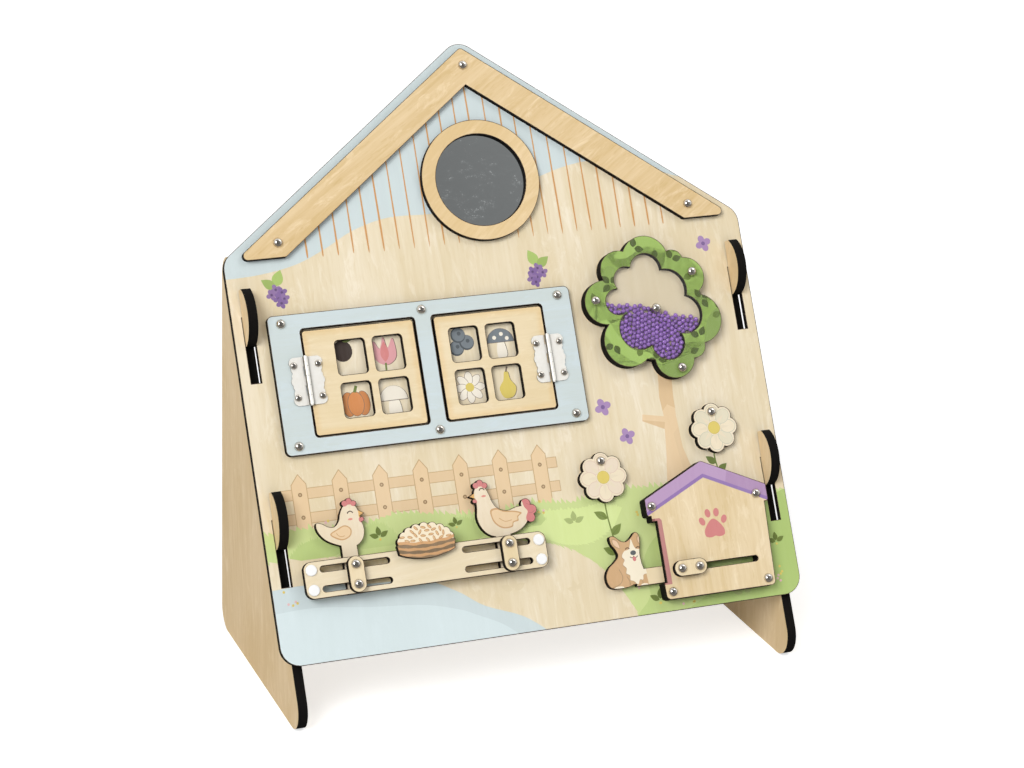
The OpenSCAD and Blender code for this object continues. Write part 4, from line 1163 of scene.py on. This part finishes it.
def windows_scene(ink):
    """Plain fruit and plants behind the shutters' panes."""
    line, cream = srgb(120, 104, 92), srgb(244, 236, 220)
    left, v = middle("left_shutter")
    right = middle("right_shutter")[0]
    return (left_panes(left, v, line, cream, tuple(ink.rose), tuple(ink.leaf))
            + right_panes(right, v, line, cream, tuple(ink.yellow)))


def blossom(x, y, size, tone, heart):
    """A small blossom with four petals."""
    petals = [(tone, oval(*off(x, y, 0.55 * size, turn), 0.5 * size, 0.42 * size, turn, 12))
              for turn in (20, 110, 200, 290)]
    return petals + [(heart, oval(x, y, 0.26 * size, count=8))]


class BUSYBOARD_OT_scene_print(bpy.types.Operator):
    """Print the garden scene on the house panel"""

    bl_idname = "busy_board.scene_print"
    bl_label = "House print"

    def execute(self, context):
        ink = context.scene.busy_board_print
        drawing = house_scene(ink) + windows_scene(ink)
        lilac, violet = tuple(ink.lilac), tuple(ink.violet)
        fresh = srgb(172, 196, 112)
        # Sprigs of lilac over the window, and single blossoms on the wall
        for u, v, side in ((-140, 229, -1), (29, 226, 1)):
            drawing += [(fresh, leaf(u, v, 11, 7, 90 + side * 25)),
                        (shade(fresh, 0.84), leaf(u, v - 1, 10, 6, 90 - side * 55))]
            for k, (x, y) in enumerate(((0, -2), (3.6, -4), (-3, -5), (1, -7.6), (4.6, -8), (2.4, -10.6))):
                tone = violet if k % 2 else toned(violet, lilac, 0.3)
                drawing += blossom(u - side * x, v + y, 3.4, shade(tone, 0.8), shade(violet, 0.45))
        for u, v, size in ((57, 132, 5.4), (70, 112, 5.2), (143, 229, 5.2)):
            drawing += blossom(u, v, size, toned(lilac, violet, 0.45), shade(violet, 0.7))
        print_piece("house_print", "front_panel", "board", "panel_ply", drawing)
        return {"FINISHED"}


def mark_object(name, drawing):
    """A flat closed mark for the printed marks tree, drawn in mm about its own middle."""
    thickness, layer_step = 0.05, 0.02
    mesh = bmesh.new()
    layer = mesh.loops.layers.float_color.new("ink")
    for level, (tone, outline) in enumerate(drawing):
        up = [mesh.verts.new((x * MM, y * MM, (thickness + layer_step * level) * MM)) for x, y in outline]
        down = [mesh.verts.new((x * MM, y * MM, 0)) for x, y in outline]
        made = [mesh.faces.new(up), mesh.faces.new(down[::-1])]
        for i in range(len(up)):
            j = (i + 1) % len(up)
            made.append(mesh.faces.new((up[j], up[i], down[i], down[j])))
        for face in made:
            for loop in face.loops:
                loop[layer] = (*tone, 1)
    data = bpy.data.meshes.new(name)
    mesh.to_mesh(data)
    mesh.free()
    return bpy.data.objects.new(name, data)


def marks(name, drawing, spots, top, slot):
    """Prints one mark of the board at many spots: (u, v, turn in degrees, width, length)."""
    mark = mark_object(name + ".mark", drawing)
    height = bpy.context.scene.busy_board_print.depth / MM
    points = [(at(u, v, top + height), {"turn": math.radians(turn), "wide": wide, "long": long})
              for u, v, turn, wide, long in spots]
    grown(name, tree("Printed marks", marks_tree), points, "board", slot,
          **{"Mark": mark, "Direction": OUT, "Material": material("Printed ink", printed)})
    bpy.data.objects.remove(mark)


def gable_edge():
    """Height of the trim's inner corner and the fall of its edges."""
    points = [point for ring in face_loops("roof_trim")[0] for point in ring]
    wide, peak = max(points), max(points, key=lambda point: point[1])
    corner = min(point[1] for point in points if abs(point[0]) < 1)
    return corner, (peak[1] - wide[1]) / (wide[0] - peak[0])


def siding(ink, rng):
    """The mark and the spots of the gable's lines, which run up under the roof trim."""
    overlap, shortest, below_trim = 3, 4, 1.3
    corner, fall = gable_edge()
    foot = extent("roof_trim")[1][0] - below_trim
    spots = []
    for i in range(-12, 13):
        u = (i + 0.05) * ink.siding_pitch / MM
        low = foot + rng.uniform(-0.4, 0.4)
        tall = corner - abs(u) * fall + overlap - low
        if tall > shortest:
            spots.append((u, low, rng.uniform(-0.5, 0.5), rng.uniform(0.95, 1.3), tall))
    right = [(0.1, 0), (0.36, 0.05), (0.5, 0.3), (0.42, 0.7), (0.4, 1.0)]
    left = [(-x, y) for x, y in right]
    return [(tuple(ink.siding), [left[0], *right, *left[:0:-1]])], spots


def clear_of(points, outline, steps):
    """Which points lie inside an outline with all of the steps from them."""
    return np.all([inside(points + step, outline) for step in steps], 0)


def meadow_dots(rng):
    """Spots of the yellow and of the pink dots, in clumps that keep off the panel's edge."""
    clumps = ((-160, 40, 5), (-128, 80, 4), (6, 74, 5), (72, 60, 5), (66, 22, 6), (92, 3, 5), (160, 14, 6))
    dots = [[], []]
    for u, v, count in clumps:
        for k in range(count):
            dots[k % 2].append((u + rng.uniform(-6, 6), v + rng.uniform(-5, 5)))
    outline = max(face_loops("front_panel")[0], key=lambda ring: np.ptp(ring, 0)[0])
    for spots in map(np.array, dots):
        clear = clear_of(spots, outline, ((3, 0), (-3, 0), (0, 3), (0, -3)))
        yield [(u, v, 0, 1, 1) for u, v in spots[clear]]


class BUSYBOARD_OT_marks(bpy.types.Operator):
    """Print what repeats: siding, tufts, meadow dots and grains"""

    bl_idname = "busy_board.marks"
    bl_label = "Repeated print"

    def execute(self, context):
        ink = context.scene.busy_board_print
        rng = random.Random(11)
        face = extent("front_panel")[2][1]
        green, yellow, hedge = tuple(ink.leaf), tuple(ink.yellow), tuple(ink.hedge)
        pink = toned(tuple(ink.rose), (1, 1, 1), 0.35)
        marks("siding_lines", *siding(ink, rng), face, "panel_ply")
        leaves = [(shade(green, 0.9), leaf(0, 0.6, 6, 3.4, 90)), (green, leaf(-0.6, 0, 6, 3.2, 155)),
                  (green, leaf(0.6, 0, 6, 3.2, 25))]
        sets = [
            ("dark_sprigs", leaves + [(yellow, oval(0, -1.6, 0.8, count=8))],
             [(-99, 70, 6, 1), (-50, 71, 8, 0.8), (74, 8, -6, 1.15), (158, 34, 4, 0.95)]),
            ("pale_sprigs", [(toned(tone, hedge, 0.55), outline) for tone, outline in leaves],
             [(26, 63, 0, 1.1), (130, 5, 6, 1.2), (0, 70, -8, 0.8)]),
            ("path_sprigs", [(srgb(226, 210, 176), outline) for _, outline in leaves],
             [(-20, 27, 0, 1.3), (20, 22, 12, 0.9)]),
        ]
        for name, drawing, spots in sets:
            marks(name, drawing, [(*spot, spot[-1]) for spot in spots], face, "panel_ply")
        for name, tone, spots in zip(("yellow_dots", "pink_dots"), (yellow, pink), meadow_dots(rng)):
            marks(name, [(tone, oval(0, 0, 0.85, count=8))], spots, face, "panel_ply")

        # Grains on the bowl's heap
        loops, top = face_loops("feed_bowl")
        (u0, u1), (v0, v1), _ = extent("feed_bowl")
        band, row_gap, grain_gap = 11.4, 2.5, 4.4
        grid = np.array([(u + (k % 2) * grain_gap / 2, v)
                         for k, v in enumerate(np.arange(v0 + band, v1, row_gap))
                         for u in np.arange(u0 + 2, u1, grain_gap)])
        grid += np.random.default_rng(3).uniform(-0.6, 0.6, grid.shape)
        clear = clear_of(grid, max(loops, key=len), ((2, 0), (-2, 0), (0, 1.6)))
        grain_mark = [(srgb(190, 146, 100), oval(0, 0, 1.75, 0.78, count=12)),
                      (srgb(222, 184, 138), oval(0.1, 0.1, 1.3, 0.45, count=10))]
        spots = [(u, v, rng.uniform(0, 180), 1, 1) for u, v in grid[clear]]
        marks("bowl_grains", grain_mark, spots, top, "bowl_ply")
        return {"FINISHED"}


class BUSYBOARD_OT_rims(bpy.types.Operator):
    """Brown the rims of the unprinted laser-cut pieces"""

    bl_idname = "busy_board.rims"
    bl_label = "Burnt rims"

    def execute(self, context):
        for node, body, slot in (
            ("roof_trim", "board", "trim_ply"), ("mirror_ring", "board", "trim_ply"),
            ("window_frame", "board", "blue_ply"), ("slide_plate", "board", "trim_ply"),
            ("left_shutter", "left_shutter", "shutter_ply"),
            ("right_shutter", "right_shutter", "shutter_ply"),
            ("left_hen_clip", "left_hen", "trim_ply"), ("right_hen_clip", "right_hen", "trim_ply"),
            ("dog_clip", "dog", "trim_ply"),
        ):
            print_piece(node + "_rim", node, body, slot, [])
        return {"FINISHED"}


class BUSYBOARD_OT_kennel_print(bpy.types.Operator):
    """Print the kennel's roof, doorway strip and paw"""

    bl_idname = "busy_board.kennel_print"
    bl_label = "Kennel print"

    def execute(self, context):
        ink = context.scene.busy_board_print
        (u0, u1), (v0, v1), _ = extent("kennel_front")
        u, half = (u0 + u1) / 2, (u1 - u0) / 2
        lilac, violet, rose = tuple(ink.lilac), tuple(ink.violet), tuple(ink.rose)
        slope, ridge = 0.4746, v1 - 10.4
        left, right = u - half - 1, u + half + 1
        eaves = ridge - slope * (half + 1)
        lower = [(left, eaves), (u, ridge), (right, eaves)]
        paw = (u + 1.9, v0 + 41.6)
        drawing = [
            (lilac, lower + [(right, v1 + 2), (left, v1 + 2)]),
            (shade(lilac, 0.88, (1, 0.96, 1)), [(u + 14, ridge - slope * 14), (right, eaves), (right, v1 + 2),
                                                (u + 19, v1 + 2)]),
            (violet, lower + moved(lower, 0, 2.4)[::-1]),
            (srgb(190, 132, 128), [(u - 40, v0 + 9.4), (u - 32, v0 + 9.4), (u - 32.2, v0 + 49.4),
                                   (u - 33.4, v0 + 51), (u - 40, v0 + 51)]),
            (srgb(150, 96, 92), bar(u - 40, v0 + 9.4, u - 36.6, v0 + 51)),
            (rose, blob([(0, 4.6), (3.6, 2.2), (6.6, -2.4), (6.2, -6), (2.8, -6.9), (0, -6.2), (-2.8, -6.9),
                         (-6.2, -6), (-6.6, -2.4), (-3.6, 2.2)], *paw)),
        ]
        for x, y, turn in ((-7.4, 3.6, 24), (-2.9, 8.3, 8), (2.9, 8.3, -8), (7.4, 3.6, -24)):
            drawing.append((rose, oval(paw[0] + x, paw[1] + y, 1.9, 2.7, turn)))
        print_piece("kennel_print", "kennel_front", "board", "kennel_ply", drawing)
        return {"FINISHED"}


# Ink of the hens' and the dog's features
FEATHER, FEATHER_EDGE, BEAK = srgb(233, 204, 164), srgb(206, 164, 118), srgb(228, 180, 104)
FACE_LINE, CHEEK = srgb(84, 64, 52), srgb(222, 146, 132)


def hen(x, y, red, comb, wattle, notches, beak, mouth, wing, wing_ink, feather, eye, cheek, tail=()):
    """A hen's comb, wattle, printed tail, beak, wing and sleeping eye, about the middle of its clip."""
    dark = shade(red, 0.8)
    return ([(red, oval(x + u, y + v, r)) for u, v, r in (*comb, wattle)]
            + [(dark, stroke(moved(notch, x, y), 0.4)) for notch in notches] + list(tail)
            + [(BEAK, moved(beak, x, y)), (FEATHER_EDGE, stroke(moved(mouth, x, y), 0.4)),
               (FEATHER_EDGE, blob(wing, x, y)), (FEATHER, blob(wing_ink, x, y)),
               (FEATHER_EDGE, stroke(moved(feather, x, y), 0.4)),
               (FACE_LINE, stroke(arc(x + eye[0], y + eye[1], 1.7, 15, 165), 0.62)),
               (CHEEK, oval(x + cheek[0], y + cheek[1], 1.5, 0.62))])


def dog_drawing(x, y, red):
    """The dog's ruff, ears, face, legs and paws, about its clip's middle and the floor it sits on."""
    tan, cream, nose, ear = srgb(206, 172, 132), srgb(243, 232, 208), srgb(92, 96, 98), srgb(230, 198, 166)
    dark, fold = shade(tan, 0.8), shade(tan, 0.72)
    ruff = [(-33.2, 29.6), (-32.2, 26), (-30.8, 23.4), (-27.4, 22.4), (-25.7, 19.6), (-26.8, 16.4),
            (-25.4, 12.8), (-26.4, 9.6), (-26.2, 7.4), (-28.6, 6.6), (-29.2, 3.8), (-31.4, 4), (-33, 1.2),
            (-35.4, 3.6), (-37.6, 4.6), (-37.4, 7.4), (-39.6, 9), (-38.9, 12), (-40.8, 14.6), (-39.4, 17.2),
            (-40.7, 19.6), (-38.8, 22.6), (-35.8, 23.4), (-34.4, 26)]
    legs = ([(-50, 1.2), (-44.6, 3), (-42.4, 7), (-44, 12)], [(-38.8, 0), (-38.2, 3.4), (-39.6, 7)],
            [(-29.6, 0), (-29.8, 3)])
    return [
        (srgb(232, 213, 176), moved([(-25.9, -1), (20, -1), (20, 13), (-27, 13)], x, y)),
        (shade(tan, 0.82), blob(ruff, x - 0.4, y - 0.3)), (cream, blob(ruff, x, y)),
        (dark, leaf(x - 45.6, y + 31.2, 8.4, 4.2, -56)), (ear, leaf(x - 45.2, y + 30.6, 7, 2.8, -56)),
        (dark, leaf(x - 27, y + 32.6, 8, 4.4, -94)), (ear, leaf(x - 27, y + 31.8, 6.6, 2.9, -94)),
        (nose, oval(x - 33, y + 21, 1.9, 1.5)),
        (FACE_LINE, stroke(arc(x - 34.2, y + 19.3, 1.3, 200, 350, 7), 0.45)),
        (FACE_LINE, stroke(arc(x - 31.7, y + 19.3, 1.3, 190, 340, 7), 0.45)),
        (red, oval(x - 32.8, y + 17.2, 1.2, 1.5)),
        (FACE_LINE, stroke(arc(x - 36.4, y + 23, 1.5, 25, 155), 0.55)),
        (FACE_LINE, stroke(arc(x - 29.4, y + 22.8, 1.5, 25, 155), 0.55)),
        *((fold, pen(leg, x, y, 0.5)) for leg in legs),
        (cream, oval(x - 45.8, y + 0.4, 3.4, 1.2)), (cream, oval(x - 35.6, y + 0.2, 2.6, 1.2)),
        (cream, oval(x - 28.8, y + 0.2, 2.6, 1.2)),
    ]


class BUSYBOARD_OT_animal_print(bpy.types.Operator):
    """Print the hens and the dog"""

    bl_idname = "busy_board.animal_print"
    bl_label = "Hens and dog print"

    def execute(self, context):
        rose = tuple(context.scene.busy_board_print.rose)
        drawing = hen(
            *middle("left_hen_clip"), rose,
            comb=((0.9, 44.4, 2.6), (3.8, 45.4, 2.8), (6.8, 43.8, 2.5)), wattle=(10.4, 32.8, 2),
            notches=([(2.3, 44), (2.5, 46.4)], [(5.2, 44), (5.4, 46)]),
            beak=[(8.7, 34.2), (13.6, 36.2), (8.7, 39.4)], mouth=[(8.8, 36.6), (13, 36.3)],
            wing=[(-10.6, 26.2), (-6.4, 28.6), (-1, 30.6), (2.8, 28), (1.8, 23.8), (-3, 21.8), (-7.4, 23.2)],
            wing_ink=[(-9.7, 26.1), (-6, 28), (-1, 29.9), (2.1, 27.6), (1.2, 24.2), (-3, 22.5), (-7, 23.9)],
            feather=arc(-3.4, 27.2, 3.2, 190, 300), eye=(3.6, 36.9), cheek=(3.2, 33.8))
        print_piece("left_hen_print", "left_hen", "left_hen", "hen_ply", drawing)
        x, y = middle("right_hen_clip")
        tail = [(15.6, 33.6), (16, 28), (18, 24.6), (16.4, 20.6), (18, 16), (25, 18), (26, 28), (20, 34)]
        folds = ([(17.6, 29.6), (20, 28.6), (22.4, 30)], [(18.6, 23.6), (20.6, 23.4), (22.6, 24.6)])
        drawing = hen(
            x, y, rose,
            comb=((-12.9, 44.9, 2.6), (-9.8, 46.2, 2.9), (-6.7, 44.4, 2.6)), wattle=(-15.2, 34.4, 1.9),
            notches=([(-11.4, 44), (-11.2, 46.6)], [(-8.2, 44), (-7.9, 46.6)]),
            beak=[(-14.4, 40.8), (-19.6, 37.8), (-14.6, 35.4)], mouth=[(-14.6, 38.2), (-18.8, 37.9)],
            wing=[(-6, 27.6), (-4.6, 20.4), (0.4, 16.2), (6.6, 16.2), (8, 18.8), (11.2, 19.6), (11.4, 22),
                  (14, 24.2), (9, 26), (3, 26.8), (-1.6, 29)],
            wing_ink=[(-5.2, 26.7), (-3.9, 20.8), (0.6, 17), (6.2, 16.9), (7.5, 19.4), (10.5, 20.2),
                      (10.8, 22.4), (12.6, 23.9), (8.8, 25.2), (2.8, 26), (-1.8, 28)],
            feather=open_curve([(-1, 22.6), (2.6, 20.2), (7, 20.6)]), eye=(-9.2, 40.4), cheek=(-8.6, 37.2),
            tail=[(rose, blob(tail, x, y)), *((shade(rose, 0.8), pen(fold, x, y)) for fold in folds)])
        print_piece("right_hen_print", "right_hen", "right_hen", "hen_ply", drawing)
        drawing = dog_drawing(middle("dog_clip")[0], extent("dog")[1][0], rose)
        print_piece("dog_print", "dog", "dog", "dog_ply", drawing)
        return {"FINISHED"}


def bowl_drawing(brown):
    """A plain rim over wavy bands that follow the bowl's round side."""
    (u0, u1), (v0, v1), _ = extent("feed_bowl")
    u = (u0 + u1) / 2
    ochre = srgb(204, 158, 112)
    drawing = [(srgb(242, 228, 200), bar(u0 - 1, v0 + 9.9, u1 + 1, v1 + 1))]
    for i, tone in enumerate((brown, ochre, shade(brown, 0.8), ochre, brown, shade(ochre, 1.1))):
        low = v0 - 0.4 + i * 1.75
        band = [(x, low + 2.0 * ((x - u) / (u1 - u)) ** 2 + 0.3 * math.sin(x * 0.6 + i * 2))
                for x in np.linspace(u0 - 1, u1 + 1, 22)]
        drawing.append((tone, band + moved(band, 0, 1.75)[::-1]))
    return drawing


def flower_drawing(x, y, petal, tone, glow, yellow):
    """Eight petals, each on an outline and with a fold, round a yellow middle."""
    drawing = []
    for i in range(8):
        turn = 90 + i * 45
        px, py = off(x, y, 9.4, turn)
        drawing += [(tone, oval(px, py, 5.2, 4.3, turn)),
                    (glow if i % 2 else petal, oval(px, py, 4.8, 3.9, turn)),
                    (shade(petal, 0.95), leaf(x, y, 10.6, 2.2, turn))]
    return drawing + [(shade(yellow, 0.8), oval(x, y, 4.1, count=28)), (yellow, oval(x, y, 3.8, count=28))]


def treetop_drawing(x, y, treetop):
    """Lighter and darker patches about the pivot, then sprigs of leaves round the ring."""
    dark = srgb(78, 95, 36)
    drawing = [(shade(treetop, light), blob(patch, x, y, 8)) for light, patch in (
        (0.76, [(-2, -60), (-4, -40), (10, -33), (22, -30), (30, -22), (34, -10), (44, -4), (58, -14),
                (40, -60)]),
        (1.16, [(-44, -8), (-36, -14), (-30, -24), (-20, -32), (-8, -36), (-8, -28), (-20, -24), (-28, -14),
                (-34, -4)]),
        (1.1, [(-22, 36), (-8, 46), (8, 46), (20, 38), (14, 36), (0, 40), (-14, 34)]),
        (0.82, [(-40, 20), (-34, 22), (-28, 30), (-22, 27), (-28, 20), (-34, 14)]),
        (1.12, [(28, 30), (38, 26), (44, 14), (40, 12), (34, 22)]),
    )]
    outer, inner = sorted(face_loops("tree_ring")[0], key=lambda ring: np.ptp(ring, 0)[0])[:-3:-1]
    reach = np.arange(10, 62, 0.5)[:, None]
    # Angle about the pivot, the turns of the sprig's leaves and how light they are
    for angle, turns, light in (
        (102, (-10, 80), 0.95), (80, (250,), 0.95), (146, (40, 130, 220), 0.95), (170, (100,), 1.6),
        (212, (200, 290), 0.95), (240, (60,), 1.7), (262, (0, 90, 180), 1.0), (300, (20,), 1.0),
        (322, (60, 150), 0.9), (346, (20,), 1.6), (6, (30, 120, 300), 0.95), (34, (200,), 1.7),
        (62, (10, 100), 1.0),
    ):
        ray = np.array((x, y)) + reach * off(0, 0, 1, angle)
        mid = ray[inside(ray, outer) & ~inside(ray, inner)].mean(0)
        for turn in turns:
            drawing.append((shade(dark, light), leaf(*off(*mid, 0.9, turn), 6.4, 4.3, turn)))
            if light < 1.5:
                vein = stroke([off(*mid, 1.1, turn), off(*mid, 6.6, turn)], 0.4, 0.12)
                drawing.append((shade(dark, light * 0.72), vein))
    return drawing


class BUSYBOARD_OT_garden_print(bpy.types.Operator):
    """Print the bowl, the turning flowers and the treetop"""

    bl_idname = "busy_board.garden_print"
    bl_label = "Bowl, flowers and treetop print"

    def execute(self, context):
        yellow = tuple(context.scene.busy_board_print.yellow)
        wood = context.scene.busy_board_wood
        print_piece("bowl_print", "feed_bowl", "board", "bowl_ply", bowl_drawing(tuple(wood.bowl)))
        for name, tone, glow in (("left_flower", srgb(224, 200, 180), srgb(232, 216, 194)),
                                 ("right_flower", srgb(206, 202, 180), srgb(225, 216, 190))):
            drawing = flower_drawing(*middle(name), tuple(wood.petal), tone, glow, yellow)
            print_piece(name + "_print", name, name, "petal_ply", drawing)
        pivot = flat(JOINTS["tree_spin"]["pos_m"])
        print_piece("treetop_print", "tree_ring", "tree", "green_ply",
                    treetop_drawing(pivot.x, pivot.y, tuple(wood.treetop)))
        return {"FINISHED"}


def linked(scene, name, data, place, aim):
    """A lamp or camera at a place that looks at a point."""
    thing = bpy.data.objects.new(name, data)
    thing.location = place
    thing.rotation_euler = (Vector(aim) - Vector(place)).to_track_quat("-Z", "Y").to_euler()
    scene.collection.objects.link(thing)
    return thing


class BUSYBOARD_OT_stage(bpy.types.Operator):
    """Set the floor, soft lights and camera"""

    bl_idname = "busy_board.stage"
    bl_label = "Stage"

    def execute(self, context):
        scene = context.scene
        stage = scene.busy_board_stage
        bpy.ops.mesh.primitive_plane_add(size=14)
        floor = context.object
        floor.name = "floor"
        paint = Paint("Pale floor", Roughness=1.0, **{"Specular IOR Level": 0.0, "Emission Strength": 1.0})
        rays = paint.add("ShaderNodeLightPath").outputs
        glossy = Num(paint, rays["Is Glossy Ray"])
        seen = paint.math("MAXIMUM", rays["Is Camera Ray"], rays["Is Transmission Ray"])
        paper = paint.mix(paint.noise(paint.place(), scale=3.0), (0.78, 0.78, 0.78), (0.82, 0.82, 0.82))
        paint.set(base_color=paint.mix(glossy, paper, (0.2, 0.18, 0.16)),
                  emission_color=paint.mix(seen + glossy * 0.12, (0.0, 0.0, 0.0), (stage.white,) * 3))
        floor.data.materials.append(paint.material)

        # White for the camera and in reflections, apart from the dark room and floor behind the camera
        dark_room, dark_floor = 0.86, 0.8
        scene.world = bpy.data.worlds.new("Soft white")
        web = Web(scene.world)
        rays = web.add("ShaderNodeLightPath").outputs
        glossy = Num(web, rays["Is Glossy Ray"])
        look = Vector(stage.look) - Vector(stage.eye)
        heading = web.add("ShaderNodeTexCoord").outputs["Generated"]
        room = web.between(0.2, 0.85, web.along(heading, -look.normalized()))
        low = web.between(0.25, -0.2, web.along(heading, (0, 0, 1)))
        bright = web.math("MAXIMUM", rays["Is Camera Ray"], rays["Is Transmission Ray"])
        plain = web.math("MAXIMUM", bright, glossy)
        reflected = (1 - room * dark_room) * (1 - low * dark_floor)
        strength = bright + glossy * reflected + (1 - plain) * stage.daylight
        light = web.add("ShaderNodeBackground", {"Color": (1.0, 1.0, 1.0), "Strength": strength})
        web.add("ShaderNodeOutputWorld", {"Surface": light})

        for name, place, size, power in (("key", (-4.4, -4.9, 4.7), 4.2, stage.key),
                                         ("fill", (2.6, -2.4, 4.4), 2.4, stage.fill)):
            lamp = bpy.data.lights.new(name, "AREA")
            lamp.shape = "DISK"
            lamp.size = size
            lamp.energy = power
            linked(scene, name, lamp, place, (0, 0, 0.18))

        camera = bpy.data.cameras.new("camera")
        camera.sensor_width = 36
        camera.lens = stage.lens
        camera.clip_start = 0.05
        camera.clip_end = 60
        scene.camera = linked(scene, "camera", camera, stage.eye, stage.look)
        scene.view_settings.view_transform = "Standard"
        return {"FINISHED"}


class BUSYBOARD_PT_pieces(bpy.types.Panel):
    """The board's pieces, one button each"""

    bl_idname = "BUSYBOARD_PT_pieces"
    bl_label = "Busy board"
    bl_space_type = "VIEW_3D"
    bl_region_type = "UI"
    bl_category = "Busy board"

    def draw(self, context):
        for operator in PIECES:
            self.layout.operator(operator.bl_idname)
        for group in GROUPS:
            settings = getattr(context.scene, group)
            box = self.layout.box()
            for name in settings.bl_rna.properties.keys():
                if name not in ("rna_type", "name"):
                    box.prop(settings, name)


PIECES = (BUSYBOARD_OT_plywood, BUSYBOARD_OT_clear_parts, BUSYBOARD_OT_hinges, BUSYBOARD_OT_fittings,
          BUSYBOARD_OT_beads, BUSYBOARD_OT_scene_print, BUSYBOARD_OT_marks, BUSYBOARD_OT_rims,
          BUSYBOARD_OT_kennel_print, BUSYBOARD_OT_animal_print, BUSYBOARD_OT_garden_print, BUSYBOARD_OT_stage)
GROUPS = {
    "busy_board_wood": BusyBoardWood,
    "busy_board_fittings": BusyBoardFittings,
    "busy_board_fill": BusyBoardFill,
    "busy_board_print": BusyBoardPrint,
    "busy_board_stage": BusyBoardStage,
}


def register():
    for group in GROUPS.values():
        bpy.utils.register_class(group)
    for operator in PIECES:
        bpy.utils.register_class(operator)
    bpy.utils.register_class(BUSYBOARD_PT_pieces)
    for name, group in GROUPS.items():
        setattr(bpy.types.Scene, name, PointerProperty(type=group))


def unregister():
    for name in GROUPS:
        delattr(bpy.types.Scene, name)
    for kind in (BUSYBOARD_PT_pieces, *reversed(PIECES), *reversed(GROUPS.values())):
        bpy.utils.unregister_class(kind)


def main():
    register()
    for operator in PIECES:
        group, name = operator.bl_idname.split(".")
        getattr(getattr(bpy.ops, group), name)()


if __name__ == "__main__":
    main()
